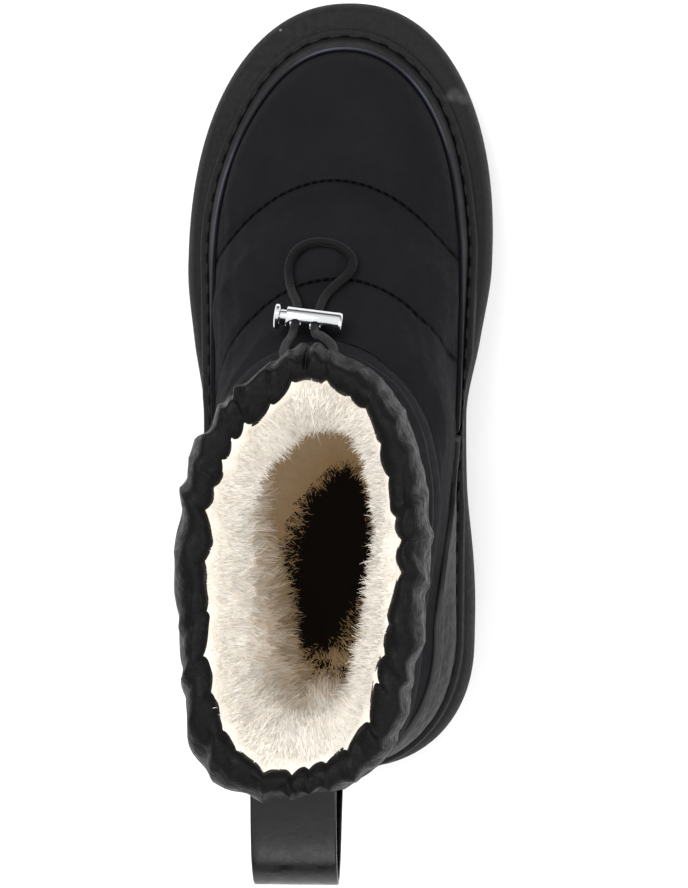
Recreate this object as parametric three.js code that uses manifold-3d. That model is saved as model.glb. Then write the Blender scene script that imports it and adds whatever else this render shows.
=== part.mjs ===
// Padded nylon winter boot, left foot: thick flanged sole, quilted upper, fur lining, gathered collar.
// Frame: millimetres, +Z up, +Y to the toe, +X to the inner (medial) side of the foot.
// Origin: on the ground, at the centre of the heel's round tread pad.

import * as THREE from 'three';
import Module from 'manifold-3d';
import { mergeVertices } from 'three/addons/utils/BufferGeometryUtils.js';

const wasm = await Module();
wasm.setup();

// Overall sizes
const soleLength = 280;
const ballWidth = 112;
const bootHeight = 190;
const heelReach = 45;

// Sole
const outsoleThickness = 9;
const outsoleInset = 2.2;
const outsoleFootInset = 5;
const lugDepth = 4;
const lugPitch = 23;
const lugWidth = 15;
const lugEdge = 3.5;
const lugDraft = 2;
const chevronDepth = 10;
const padRadius = 14;
const padGroove = 4.9;
const footbedHeight = 24;
const flangeHeight = 31;
const flangeShoulder = 3.6;
const lipHeight = 36.5;
const lipWidth = 2.6;
const lipFootFlare = 0.4;
const lipEdge = 0.8;
const grooveWidth = 2;
const grooveDepth = 3.5;
const heelRise = 5;
const toeRise = 2.5;
const toeSpring = 9;
const archRise = 3;
const heelBevel = 2;
const insoleThickness = 6;
const insoleEdge = 0.8;

// Upper
const upperWall = 2.6;
const quiltPuff = 3.6;
const seamWidth = 7;
const pleatDepth = 1.5;
const puckerDepth = 1.2;
const mudguardWall = 1.3;
const mudguardRise = 13;
const mudguardNarrow = 0.5;
const counterWall = 1.5;
const counterHeight = 46;
const counterFrontHeight = 12;
const counterFallStart = 0.24;
const counterFallPower = 1.4;
const furLockLength = 10;
const furLockRadius = 4.5;
const furLocks = 24;

// Quilting seams. The toe seam is an arc across the vamp with its apex ahead; the instep seam is half
// an ellipse round the ankle; the ankle seam runs round the shaft. Shares of the sole length (along)
// or of the ball width (across), with centres and drops in mm.
const toeSeamAlong = 0.755;
const toeSeamAcross = 0.406;
const toeSeamCentre = -3.8;
const toeSeamDrop = 29;
const instepSeamAlong = 0.395;
const instepSeamReach = 0.232;
const instepSeamAcross = 0.446;
const instepSeamCentre = -1.8;
const instepSeamBack = 0.36;
const ankleSeamRise = 0.44;
const ankleSeamClimb = 14;
const casingFoot = 0.79;

// Pull loop
const loopWidth = 28;
const loopWall = 1.8;
const loopCentreX = -12.2;
const loopReach = 33.2;

// Drawcord and cord lock
const cordDiameter = 3;
const barrelDiameter = 8;
const barrelLength = 19;
const barrelBore = 6;
const barrelEnd = 1.2;
const plungerDiameter = 5.4;
const cordHoleFirst = 3.4;
const cordHoleStep = 6.7;
const plungerStroke = 1.8;
const plungerNeck = 2;
const plungerHeadDiameter = 9;
const plungerHeadThickness = 2;
const plungerTip = 1.2;
const lockTurn = -7.2;
const lockTilt = 33;
const lockCentre = [-9.5, 115.3, 119.2];

// Where the mudguard ends and the heel counter starts, as a share of the length
const mudguardBack = 0.44;

// Clearance between neighbouring pieces
const gap = 0.3;

// Points round a horizontal section; a cosine spread sets them closer at the toe and the heel
const around = 40;
const endCrowding = 0.45;

// Plan of the sole: along is a share of the length from the back; half width and centre are shares
// of the ball width. The ends are rounded over heelRound and toeRound, shares of the length.
const solePlan = [
  { along: 0.16, half: 0.402, centre: 0.0 },
  { along: 0.20, half: 0.406, centre: -0.002 },
  { along: 0.30, half: 0.431, centre: -0.038 },
  { along: 0.375, half: 0.429, centre: -0.052 },
  { along: 0.46, half: 0.430, centre: -0.055 },
  { along: 0.56, half: 0.470, centre: -0.050 },
  { along: 0.66, half: 0.500, centre: -0.041 },
  { along: 0.87, half: 0.500, centre: -0.023 },
  { along: 1.00, half: 0.500, centre: -0.008 },
];
const heelRound = 0.17;
const toeRound = 0.325;
const solePower = 2.2;

// Side of the midsole: rise is a share of its height up to the flange, inset is in mm
const sideWall = [
  { rise: 0.0, inset: 4.2 },
  { rise: 0.08, inset: 1.6 },
  { rise: 0.30, inset: 0.4 },
  { rise: 0.56, inset: 0.0 },
  { rise: 0.80, inset: 0.9 },
  { rise: 0.95, inset: 2.6 },
];

// Level sections of the upper, from the lip to the collar. rise is a share of the height above the
// lip. back, front and reach (the length of the rounded front) are shares of the sole length. The
// half widths and centres at heel, mid foot and ball are shares of the ball width.
const sections = [
  { rise: 0.01, back: 0.020, front: 0.944, reach: 0.295,
    heel: 0.324, heelCentre: 0, mid: 0.380, midCentre: -0.046, ball: 0.410, ballCentre: -0.038 },
  { rise: 0.05, back: 0.020, front: 0.934, reach: 0.293,
    heel: 0.330, heelCentre: 0, mid: 0.379, midCentre: -0.045, ball: 0.398, ballCentre: -0.036 },
  { rise: 0.09, back: 0.021, front: 0.918, reach: 0.290,
    heel: 0.330, heelCentre: 0, mid: 0.378, midCentre: -0.044, ball: 0.384, ballCentre: -0.035 },
  { rise: 0.14, back: 0.022, front: 0.886, reach: 0.282,
    heel: 0.326, heelCentre: -0.003, mid: 0.375, midCentre: -0.043, ball: 0.365, ballCentre: -0.035 },
  { rise: 0.19, back: 0.023, front: 0.838, reach: 0.272,
    heel: 0.317, heelCentre: -0.007, mid: 0.371, midCentre: -0.041, ball: 0.344, ballCentre: -0.035 },
  { rise: 0.25, back: 0.025, front: 0.755, reach: 0.257,
    heel: 0.304, heelCentre: -0.012, mid: 0.365, midCentre: -0.038, ball: 0.332, ballCentre: -0.036 },
  { rise: 0.315, back: 0.0275, front: 0.695, reach: 0.236,
    heel: 0.290, heelCentre: -0.016, mid: 0.359, midCentre: -0.034, ball: 0.320, ballCentre: -0.034 },
  { rise: 0.39, back: 0.030, front: 0.628, reach: 0.207,
    heel: 0.268, heelCentre: -0.021, mid: 0.346, midCentre: -0.030, ball: 0.300, ballCentre: -0.030 },
  { rise: 0.46, back: 0.032, front: 0.580, reach: 0.186,
    heel: 0.262, heelCentre: -0.027, mid: 0.338, midCentre: -0.030, ball: 0.290, ballCentre: -0.030 },
  { rise: 0.54, back: 0.032, front: 0.547, reach: 0.170,
    heel: 0.264, heelCentre: -0.036, mid: 0.330, midCentre: -0.036, ball: 0.290, ballCentre: -0.036 },
  { rise: 0.67, back: 0.032, front: 0.528, reach: 0.162,
    heel: 0.281, heelCentre: -0.049, mid: 0.326, midCentre: -0.045, ball: 0.290, ballCentre: -0.045 },
  { rise: 0.79, back: 0.034, front: 0.521, reach: 0.164,
    heel: 0.297, heelCentre: -0.063, mid: 0.328, midCentre: -0.056, ball: 0.290, ballCentre: -0.040 },
  { rise: 0.98, back: 0.036, front: 0.516, reach: 0.178,
    heel: 0.302, heelCentre: -0.078, mid: 0.304, midCentre: -0.065, ball: 0.290, ballCentre: -0.035 },
];
const heelStation = 0.195;
const midStation = 0.375;
const ballStation = 0.68;
const backReach = 0.16;
const sectionPower = 2.1;

// Depth of the fur in mm, by rise: at the sides, at the front (toe or instep) and at the back
const furDepths = [
  { rise: 0.00, side: 11, front: 7, back: 9 },
  { rise: 0.14, side: 12, front: 8, back: 11 },
  { rise: 0.25, side: 13, front: 9, back: 13 },
  { rise: 0.39, side: 14, front: 13, back: 14 },
  { rise: 0.55, side: 17, front: 18, back: 15 },
  { rise: 0.72, side: 15, front: 17, back: 15 },
  { rise: 0.83, side: 13, front: 16, back: 13 },
  { rise: 0.92, side: 10, front: 12, back: 10 },
  { rise: 0.97, side: 7, front: 8, back: 7 },
];

// Plan of the collar casing: its outer and its inner edge, from the front round the lateral side.
// across is a share of the ball width and along a share of the sole length.
const casingOuterEdge = [
  { across: -0.049, along: 0.541 },
  { across: -0.129, along: 0.525 },
  { across: -0.217, along: 0.498 },
  { across: -0.330, along: 0.450 },
  { across: -0.389, along: 0.400 },
  { across: -0.415, along: 0.353 },
  { across: -0.427, along: 0.293 },
  { across: -0.416, along: 0.228 },
  { across: -0.409, along: 0.161 },
  { across: -0.397, along: 0.118 },
  { across: -0.379, along: 0.073 },
  { across: -0.325, along: 0.043 },
  { across: -0.271, along: 0.026 },
  { across: -0.174, along: 0.019 },
  { across: -0.077, along: 0.027 },
  { across: 0.052, along: 0.034 },
  { across: 0.160, along: 0.064 },
  { across: 0.210, along: 0.104 },
  { across: 0.246, along: 0.171 },
  { across: 0.277, along: 0.250 },
  { across: 0.281, along: 0.336 },
  { across: 0.263, along: 0.411 },
  { across: 0.225, along: 0.456 },
  { across: 0.157, along: 0.495 },
  { across: 0.089, along: 0.519 },
  { across: 0.007, along: 0.527 },
];
const casingInnerEdge = [
  { across: -0.055, along: 0.500 },
  { across: -0.142, along: 0.465 },
  { across: -0.222, along: 0.439 },
  { across: -0.286, along: 0.393 },
  { across: -0.320, along: 0.314 },
  { across: -0.318, along: 0.232 },
  { across: -0.314, along: 0.164 },
  { across: -0.293, along: 0.116 },
  { across: -0.238, along: 0.077 },
  { across: -0.169, along: 0.056 },
  { across: -0.077, along: 0.058 },
  { across: 0.031, along: 0.073 },
  { across: 0.111, along: 0.108 },
  { across: 0.138, along: 0.164 },
  { across: 0.174, along: 0.228 },
  { across: 0.205, along: 0.296 },
  { across: 0.186, along: 0.350 },
  { across: 0.160, along: 0.409 },
  { across: 0.128, along: 0.456 },
  { across: 0.031, along: 0.487 },
];
const casingCentre = { across: -0.08, along: 0.279 };

// Cross-section of the collar casing: out is a share of the way from the shaft's surface to the outer
// edge, or to the inner edge where it is negative, and rise is as above.
const casingOutside = [
  { rise: 0.796, out: 0.0 },
  { rise: 0.792, out: 0.70 },
  { rise: 0.835, out: 0.96 },
  { rise: 0.90, out: 1.0 },
  { rise: 0.955, out: 0.82 },
  { rise: 0.99, out: 0.36 },
];
const casingInside = [
  { rise: 1.0, out: -0.30 },
  { rise: 0.985, out: -0.85 },
  { rise: 0.94, out: -1.0 },
  { rise: 0.87, out: -0.92 },
  { rise: 0.796, out: -0.72 },
];

// Route of the drawcord, chosen by hand, in mm: out of the casing, down the shaft, through the lock,
// round the loop on the vamp, back through the lock and up into the casing.
const cordRoute = [
  [-13.2, 98.4, 165.5],
  [-14.3, 100.8, 160.5],
  [-15.1, 102.8, 155.2],
  [-15.4, 104.6, 149.0],
  [-15.2, 106.6, 142.0],
  [-14.8, 108.2, 134.0],
  [-14.3, 110.2, 127.8],
  [-13.9, 113.1, 123.4],
  [-13.6, 115.8, 119.2],
  [-13.3, 118.5, 115.0],
  [-14.3, 121.8, 109.0],
  [-16.6, 126.4, 101.4],
  [-17.9, 131.5, 96.4],
  [-17.6, 136.4, 94.3],
  [-15.3, 140.5, 93.7],
  [-11.0, 142.9, 93.4],
  [-5.9, 143.2, 93.8],
  [-0.8, 141.8, 94.5],
  [3.2, 138.8, 95.3],
  [4.3, 135.2, 96.4],
  [2.4, 131.6, 98.2],
  [-1.6, 127.8, 102.4],
  [-5.0, 123.2, 107.6],
  [-6.6, 117.7, 115.0],
  [-6.9, 115.0, 119.2],
  [-7.2, 112.3, 123.4],
  [-6.4, 110.1, 127.8],
  [-4.6, 109.5, 134.0],
  [-2.2, 108.0, 142.0],
  [0.2, 105.8, 149.0],
  [1.2, 103.2, 155.2],
  [0.7, 101.4, 160.5],
  [-0.2, 98.8, 165.5],
];

// Small helpers
const clamp01 = (value) => Math.min(1, Math.max(0, value));

function smoothstep(low, high, value) {
  const share = clamp01((value - low) / (high - low));
  return share * share * (3 - 2 * share);
}

// Value of a column of a table at key, through its rows with a smooth (monotone) curve
function readTable(table, key, column, at) {
  const last = table.length - 1;
  if (at <= table[0][key]) return table[0][column];
  if (at >= table[last][key]) return table[last][column];
  let row = 0;
  while (at > table[row + 1][key]) row += 1;
  const slope = (k) => (table[k + 1][column] - table[k][column]) / (table[k + 1][key] - table[k][key]);
  const tangent = (k) => {
    if (k === 0) return slope(0);
    if (k === last) return slope(last - 1);
    const before = slope(k - 1);
    const after = slope(k);
    return before * after <= 0 ? 0 : (2 * before * after) / (before + after);
  };
  const span = table[row + 1][key] - table[row][key];
  const t = (at - table[row][key]) / span;
  const from = table[row][column];
  const to = table[row + 1][column];
  const blend = t * t * (3 - 2 * t);
  const bendStart = t * (1 - t) * (1 - t) * span * tangent(row);
  const bendEnd = t * t * (t - 1) * span * tangent(row + 1);
  return from + (to - from) * blend + bendStart + bendEnd;
}

const alongToY = (share) => share * soleLength - heelReach;
const yToAlong = (y) => (y + heelReach) / soleLength;

// Height that the sole's top gains at the heel and at the toe
function topLift(y) {
  const along = yToAlong(y);
  return heelRise * (1 - smoothstep(0.22, 0.6, along)) + toeRise * smoothstep(0.75, 1, along);
}

// Height of the tread's underside: bevelled heel, arch, two flat rests and the toe spring
function groundLift(y) {
  const along = yToAlong(y);
  const heel = heelBevel * Math.pow(clamp01((0.06 - along) / 0.06), 2);
  const arch = archRise * smoothstep(0.3, 0.4, along) * (1 - smoothstep(0.46, 0.55, along));
  const toe = toeSpring * Math.pow(clamp01((along - 0.74) / 0.26), 1.8);
  return heel + arch + toe;
}

// Rounding of an outline's end: 1 away from the end, 0 at it
function endRound(distance, reach, power) {
  if (distance >= reach) return 1;
  const inward = clamp01(1 - distance / reach);
  return Math.pow(Math.max(0, 1 - Math.pow(inward, power)), 1 / power);
}

// Share of the way round: spread so that points crowd at the toe and the heel
function spread(index) {
  const half = around / 2;
  const side = index <= half ? index / half : (around - index) / half;
  return side - (endCrowding * Math.sin(2 * Math.PI * side)) / (2 * Math.PI);
}

// Points along one half outline, front to back, at the given shares of its length
function samplesOfHalf(front, back, halfWidth, shares) {
  const steps = 120;
  const points = [];
  for (let i = 0; i <= steps; i += 1) {
    const y = front + ((back - front) * (1 - Math.cos((Math.PI * i) / steps))) / 2;
    points.push([halfWidth(y), y]);
  }
  const lengths = [0];
  for (let i = 1; i <= steps; i += 1) {
    const step = Math.hypot(points[i][0] - points[i - 1][0], points[i][1] - points[i - 1][1]);
    lengths.push(lengths[i - 1] + step);
  }
  return shares.map((share) => {
    const target = share * lengths[steps];
    let i = 1;
    while (i < steps && lengths[i] < target) i += 1;
    const t = (target - lengths[i - 1]) / (lengths[i] - lengths[i - 1]);
    const before = points[i - 1];
    const after = points[i];
    return [before[0] + (after[0] - before[0]) * t, before[1] + (after[1] - before[1]) * t];
  });
}

// A closed outline, counter-clockwise from the front: lateral side first, then medial
function closedOutline(front, back, halfAt, centreAt) {
  const half = around / 2;
  const shares = [];
  for (let i = 0; i <= half; i += 1) shares.push(spread(i));
  const lateral = samplesOfHalf(front, back, (y) => halfAt(y) - centreAt(y), shares);
  const medial = samplesOfHalf(front, back, (y) => halfAt(y) + centreAt(y), shares);
  const loop = [];
  for (let i = 0; i <= half; i += 1) loop.push([-lateral[i][0], lateral[i][1]]);
  for (let i = half - 1; i > 0; i -= 1) loop.push([medial[i][0], medial[i][1]]);
  return loop;
}

// The sole's plan, level by level the same
function soleOutline() {
  const front = soleLength - heelReach;
  const back = -heelReach;
  const rounded = (y) => endRound(front - y, toeRound * soleLength, solePower)
    * endRound(y - back, heelRound * soleLength, solePower);
  const halfAt = (y) => readTable(solePlan, 'along', 'half', yToAlong(y)) * ballWidth * rounded(y);
  const centreAt = (y) => readTable(solePlan, 'along', 'centre', yToAlong(y)) * ballWidth;
  // the centre line closes at the ends with the width
  const ends = (y) => Math.min(1, rounded(y) * 4);
  const offset = (y) => centreAt(y) * ends(y) + endCentre(y, front, back, centreAt) * (1 - ends(y));
  return closedOutline(front, back, halfAt, offset);
}

function endCentre(y, front, back, centreAt) {
  return centreAt(y > (front + back) / 2 ? front : back);
}

// A level section of the upper at a rise, a share of the height above the lip
const sectionCache = new Map();

function sectionOutline(rise) {
  const key = rise.toFixed(5);
  if (sectionCache.has(key)) return sectionCache.get(key);
  const at = (column) => readTable(sections, 'rise', column, rise);
  const front = alongToY(at('front'));
  const back = alongToY(at('back'));
  const reach = at('reach') * soleLength;
  const stations = [
    { along: heelStation, half: at('heel'), centre: at('heelCentre') },
    { along: midStation, half: at('mid'), centre: at('midCentre') },
    { along: ballStation, half: at('ball'), centre: at('ballCentre') },
  ];
  const rounded = (y) => endRound(front - y, reach, sectionPower)
    * endRound(y - back, backReach * soleLength, sectionPower);
  const halfAt = (y) => readTable(stations, 'along', 'half', yToAlong(y)) * ballWidth * rounded(y);
  const centreAt = (y) => readTable(stations, 'along', 'centre', yToAlong(y)) * ballWidth;
  const loop = closedOutline(front, back, halfAt, centreAt);
  sectionCache.set(key, loop);
  return loop;
}

// Height of a rise; near the lip it follows the rise and fall of the sole's top
function heightAt(rise, y) {
  const follow = 1 - smoothstep(0.09, 0.4, rise);
  return lipHeight + rise * (bootHeight - lipHeight) + topLift(y) * follow;
}

// Rise whose height is a given distance from the sole's ground plane, without the lift
const riseOf = (height) => (height - lipHeight) / (bootHeight - lipHeight);

// Distance from the nearest quilting seam, along the surface
function seamDistance(x, y, z) {
  const toeShare = (x - toeSeamCentre) / (toeSeamAcross * ballWidth);
  const toeY = alongToY(toeSeamAlong) - toeSeamDrop * toeShare * toeShare;
  const toeSlope = (2 * toeSeamDrop * toeShare) / (toeSeamAcross * ballWidth);
  const toeSeam = (y - toeY) / Math.hypot(1, toeSlope);
  const instepRadius = 0.2 * soleLength;
  const instepX = (x - instepSeamCentre) / (instepSeamAcross * ballWidth);
  const instepY = (y - alongToY(instepSeamAlong)) / (instepSeamReach * soleLength);
  const ahead = y > alongToY(instepSeamBack);
  const instepSeam = ahead ? (Math.hypot(instepX, instepY) - 1) * instepRadius : Infinity;
  const ankleHeight = heightAt(ankleSeamRise, y) + ankleSeamClimb * smoothstep(0.05, 0.5, yToAlong(y));
  const ankleSeam = z - ankleHeight;
  const casingSeam = z - heightAt(casingFoot, y);
  return Math.min(...[toeSeam, instepSeam, ankleSeam, casingSeam].map(Math.abs));
}

// How far the padding swells: nothing at a seam, low down, or under the leather at the heel
function puffAt(x, y, z, rise) {
  const width = seamWidth * (1 + Math.abs(x) / (0.5 * ballWidth));
  const swell = 1 - Math.exp(-Math.pow(seamDistance(x, y, z) / width, 2));
  const clearOfRand = smoothstep(0.05, 0.14, rise);
  const ahead = smoothstep(0.36, 0.46, yToAlong(y));
  const above = smoothstep(0.43, 0.50, rise);
  const belowCasing = 1 - smoothstep(casingFoot - 0.01, casingFoot + 0.01, rise);
  return quiltPuff * swell * clearOfRand * Math.max(ahead, above) * belowCasing;
}

// A row of points of the upper's surface at a rise, offset along its normal (out is positive)
function rawRow(rise) {
  const low = Math.max(rise, sections[0].rise);
  const loop = sectionOutline(low);
  return loop.map(([x, y]) => new THREE.Vector3(x, y, heightAt(rise, y)));
}

function normalsRow(rise) {
  const step = 0.006;
  const low = rawRow(Math.max(rise, sections[0].rise) - step);
  const high = rawRow(Math.max(rise, sections[0].rise) + step);
  const row = rawRow(rise);
  return row.map((point, i) => {
    const next = row[(i + 1) % around];
    const previous = row[(i + around - 1) % around];
    const tangent = next.clone().sub(previous);
    const foot = rise <= sections[0].rise;
    const up = foot ? new THREE.Vector3(0, 0, 1) : high[i].clone().sub(low[i]);
    return tangent.cross(up).normalize();
  });
}

function surfaceRow(rise, offsetAt) {
  const normals = normalsRow(rise);
  return rawRow(rise).map((point, i) => point.clone().addScaledVector(normals[i], offsetAt(point, i)));
}

// Rows of the quilted outside, and of the smooth inside that the padding is stitched to
const outerRow = (rise, offset) => surfaceRow(rise, ({ x, y, z }) => puffAt(x, y, z, rise) + offset);
const innerRow = (rise, offset) => surfaceRow(rise, () => -offset);

// Bare outline moved outward in plan by a distance
function outsetLoop(loop, distance) {
  return loop.map(([x, y], i) => {
    const next = loop[(i + 1) % around];
    const previous = loop[(i + around - 1) % around];
    const dx = next[0] - previous[0];
    const dy = next[1] - previous[1];
    const size = Math.hypot(dx, dy);
    return [x + (dy / size) * distance, y - (dx / size) * distance];
  });
}

// Mesh building: a list of corner positions and triangles
class Shell {
  constructor() {
    this.positions = [];
    this.triangles = [];
  }

  addRow(row) {
    const start = this.positions.length;
    row.forEach((point) => this.positions.push(point));
    return start;
  }

  triangle(a, b, c) {
    this.triangles.push([a, b, c]);
  }

  // A band between two closed rows. Its diagonals lean the same way on rising and falling bands, so
  // that nested surfaces have matching facets.
  band(from, to, count) {
    const rising = this.positions[to].z >= this.positions[from].z;
    for (let i = 0; i < count; i += 1) {
      const j = (i + 1) % count;
      if (rising) {
        this.triangle(from + i, from + j, to + j);
        this.triangle(from + i, to + j, to + i);
      } else {
        this.triangle(from + i, from + j, to + i);
        this.triangle(from + j, to + j, to + i);
      }
    }
  }

  // A cap across a closed row, in strips from side to side
  cap(row, count, facesUp) {
    const put = (a, b, c) => (facesUp ? this.triangle(a, b, c) : this.triangle(a, c, b));
    for (let i = 0; i < count / 2; i += 1) {
      const a = row + i;
      const b = row + i + 1;
      const c = row + ((count - i - 1) % count);
      const d = row + ((count - i) % count);
      if (b !== c) put(a, b, c);
      if (a !== d) put(a, c, d);
    }
  }

  geometry() {
    const flat = [];
    this.triangles.forEach((corners) => {
      corners.forEach((index) => flat.push(...this.positions[index].toArray()));
    });
    const geometry = new THREE.BufferGeometry();
    geometry.setAttribute('position', new THREE.Float32BufferAttribute(flat, 3));
    return geometry;
  }
}

// A solid through closed rows, capped at both ends
function solidOfRows(rows) {
  const shell = new Shell();
  const starts = rows.map((row) => shell.addRow(row));
  for (let k = 0; k + 1 < starts.length; k += 1) shell.band(starts[k], starts[k + 1], rows[k].length);
  shell.cap(starts[0], rows[0].length, false);
  shell.cap(starts[starts.length - 1], rows[0].length, true);
  return shell.geometry();
}

// A hollow ring through closed rows whose last row joins the first again
function ringOfRows(rows) {
  const shell = new Shell();
  const starts = rows.map((row) => shell.addRow(row));
  starts.forEach((start, k) => shell.band(start, starts[(k + 1) % starts.length], rows[k].length));
  return shell.geometry();
}

// Joining and cutting of closed meshes
function toSolid(geometry) {
  const bare = new THREE.BufferGeometry();
  bare.setAttribute('position', geometry.getAttribute('position').clone());
  if (geometry.index) bare.setIndex(geometry.index.clone());
  const merged = mergeVertices(bare, 1e-4);
  const vertProperties = new Float32Array(merged.getAttribute('position').array);
  const triVerts = new Uint32Array(merged.index.array);
  return new wasm.Manifold(new wasm.Mesh({ numProp: 3, vertProperties, triVerts }));
}

function toGeometry(solid) {
  const mesh = solid.getMesh();
  const geometry = new THREE.BufferGeometry();
  geometry.setAttribute('position', new THREE.BufferAttribute(new Float32Array(mesh.vertProperties), 3));
  geometry.setIndex(new THREE.BufferAttribute(new Uint32Array(mesh.triVerts), 1));
  return geometry;
}

// Sole
const soleLoop = soleOutline();

function soleRow(inset, heightOf) {
  return outsetLoop(soleLoop, -inset).map(([x, y]) => new THREE.Vector3(x, y, heightOf(y)));
}

const plateBottom = (y) => groundLift(y) + lugDepth;
const plateTop = (y) => groundLift(y) + outsoleThickness;
const midsoleBottom = (y) => plateTop(y) + gap;
const flangeTop = (y) => flangeHeight + topLift(y);

function lugBar(y, width) {
  const reach = ballWidth;
  const dip = chevronDepth;
  const shape = new THREE.Shape();
  shape.moveTo(-reach, y - width / 2 + dip);
  shape.lineTo(0, y - width / 2);
  shape.lineTo(reach, y - width / 2 + dip);
  shape.lineTo(reach, y + width / 2 + dip);
  shape.lineTo(0, y + width / 2);
  shape.lineTo(-reach, y + width / 2 + dip);
  shape.closePath();
  const bar = new THREE.ExtrudeGeometry(shape, { depth: 2 * flangeHeight, bevelEnabled: false });
  bar.translate(0, 0, -flangeHeight);
  return toSolid(bar);
}

function disc(x, y, radius, sides) {
  const shape = new THREE.CylinderGeometry(radius, radius, 2 * flangeHeight, sides);
  shape.rotateX(Math.PI / 2);
  shape.translate(x, y, 0);
  return toSolid(shape);
}

// Tread: chevron bars across the sole, with a round pad under the heel and under the ball
const heelPad = { x: 0, y: 0 };
const ballPad = { x: -0.04 * ballWidth, y: alongToY(0.64) };

function outsoleGeometry() {
  const plate = toSolid(solidOfRows([
    soleRow(outsoleFootInset, plateBottom),
    soleRow(outsoleInset + 0.2, (y) => groundLift(y) + outsoleThickness * 0.62),
    soleRow(outsoleInset, plateTop),
  ]));
  const layer = toSolid(solidOfRows([
    soleRow(lugEdge + lugDraft, groundLift),
    soleRow(lugEdge, (y) => groundLift(y) + lugDepth + 1),
  ]));
  let bars = null;
  for (let y = -heelReach; y < soleLength - heelReach; y += lugPitch) {
    const bar = lugBar(y, lugWidth);
    bars = bars ? bars.add(bar) : bar;
  }
  [heelPad, ballPad].forEach(({ x, y }) => {
    bars = bars.subtract(disc(x, y, padRadius + padGroove, 20));
    bars = bars.add(disc(x, y, padRadius, 20));
  });
  return toGeometry(plate.add(bars.intersect(layer)));
}

// Room between the foot of the upper and the edge of the sole, which narrows the lip at the waist
function roomOutside(x, y) {
  let nearest = Infinity;
  soleLoop.forEach(([ax, ay], i) => {
    const [bx, by] = soleLoop[(i + 1) % around];
    const share = clamp01(((x - ax) * (bx - ax) + (y - ay) * (by - ay)) / ((bx - ax) ** 2 + (by - ay) ** 2));
    nearest = Math.min(nearest, Math.hypot(x - ax - share * (bx - ax), y - ay - share * (by - ay)));
  });
  return nearest;
}

function lipRow(out, height) {
  const footLoop = sectionOutline(sections[0].rise);
  const narrow = outsetLoop(footLoop, Math.min(out, grooveWidth));
  const wide = outsetLoop(footLoop, out);
  return footLoop.map(([x, y], i) => {
    const room = roomOutside(x, y) - grooveWidth - lipEdge;
    const share = clamp01(room / (lipWidth + lipFootFlare));
    const plan = [0, 1].map((k) => narrow[i][k] + (wide[i][k] - narrow[i][k]) * share);
    return new THREE.Vector3(plan[0], plan[1], height + topLift(y));
  });
}

function blendRows(from, to, share) {
  return from.map((point, i) => point.clone().lerp(to[i], share));
}

// Midsole: rounded side wall, flange, and a raised lip that follows the foot of the upper
function midsoleGeometry() {
  const rows = sideWall.map(({ rise, inset }) => {
    const heightOf = (y) => midsoleBottom(y) + (flangeTop(y) - midsoleBottom(y)) * rise;
    return soleRow(inset, heightOf);
  });
  const shoulder = soleRow(flangeShoulder, (y) => flangeTop(y) - 0.3);
  const lipFoot = lipRow(grooveWidth + lipWidth + lipFootFlare, flangeHeight + 1);
  rows.push(blendRows(shoulder, lipFoot, 0.15));
  rows.push(blendRows(shoulder, lipFoot, 0.85));
  rows.push(lipRow(grooveWidth + lipWidth, lipHeight - 1.8));
  rows.push(lipRow(grooveWidth + lipWidth * 0.75, lipHeight - 0.3));
  rows.push(lipRow(grooveWidth + lipWidth * 0.35, lipHeight));
  rows.push(lipRow(grooveWidth * 0.6, lipHeight - 0.6));
  const body = toSolid(solidOfRows(rows));
  const seat = toSolid(solidOfRows([
    outerRow(riseOf(footbedHeight), gap),
    outerRow(riseOf(lipHeight + 2), gap),
  ]));
  const groove = toSolid(solidOfRows([
    outerRow(riseOf(lipHeight - grooveDepth), grooveWidth),
    outerRow(riseOf(lipHeight + 2), grooveWidth),
  ]));
  return toGeometry(body.subtract(seat).subtract(groove));
}

// Insole, dropped on the footbed inside the upper
function insoleGeometry() {
  const inset = upperWall + gap;
  const bottom = footbedHeight + gap;
  return solidOfRows([
    innerRow(riseOf(bottom), inset + insoleEdge),
    innerRow(riseOf(bottom + insoleThickness * 0.3), inset),
    innerRow(riseOf(bottom + insoleThickness * 0.75), inset),
    innerRow(riseOf(bottom + insoleThickness), inset + insoleEdge),
  ]);
}

// Upper: one padded wall from the footbed to the casing, open above and below
const upperFoot = riseOf(footbedHeight + gap);
const upperRises = [
  upperFoot, 0.01, 0.05, 0.09, 0.14, 0.19, 0.22, 0.25, 0.285, 0.32,
  0.355, 0.39, 0.425, 0.46, 0.50, 0.545, 0.61, 0.70, 0.755, 0.79,
];
const insideRises = [0.01, 0.08, 0.16, 0.25, 0.34, 0.44, 0.545, 0.67, 0.75, 0.79];

function upperGeometry() {
  const outer = upperRises.map((rise) => outerRow(rise, 0));
  const inner = [upperFoot, ...insideRises].map((rise) => innerRow(rise, upperWall));
  return ringOfRows([...outer, ...inner.reverse()]);
}

const overlayRises = [upperFoot, 0.01, 0.05, 0.09, 0.14, 0.19, 0.25, 0.32, 0.39, 0.46, 0.50];

// Overlays: cut between two larger forms of the upper's own surface, within an outline drawn on the
// boot's side, as [y, z] points
function overlay(wall, sideOutline) {
  const form = (rises, offset) => toSolid(solidOfRows(rises.map((rise) => outerRow(rise, offset))));
  const outside = form(overlayRises, gap + wall);
  const inside = form(upperRises, gap);
  const shape = new THREE.Shape(sideOutline.map(([y, z]) => new THREE.Vector2(y, z)));
  const slab = new THREE.ExtrudeGeometry(shape, { depth: 2 * ballWidth, bevelEnabled: false });
  const place = new THREE.Matrix4().makeBasis(
    new THREE.Vector3(0, 1, 0),
    new THREE.Vector3(0, 0, 1),
    new THREE.Vector3(1, 0, 0),
  );
  slab.applyMatrix4(place);
  slab.translate(-ballWidth, 0, 0);
  return toGeometry(outside.subtract(inside).intersect(toSolid(slab)));
}

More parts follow.
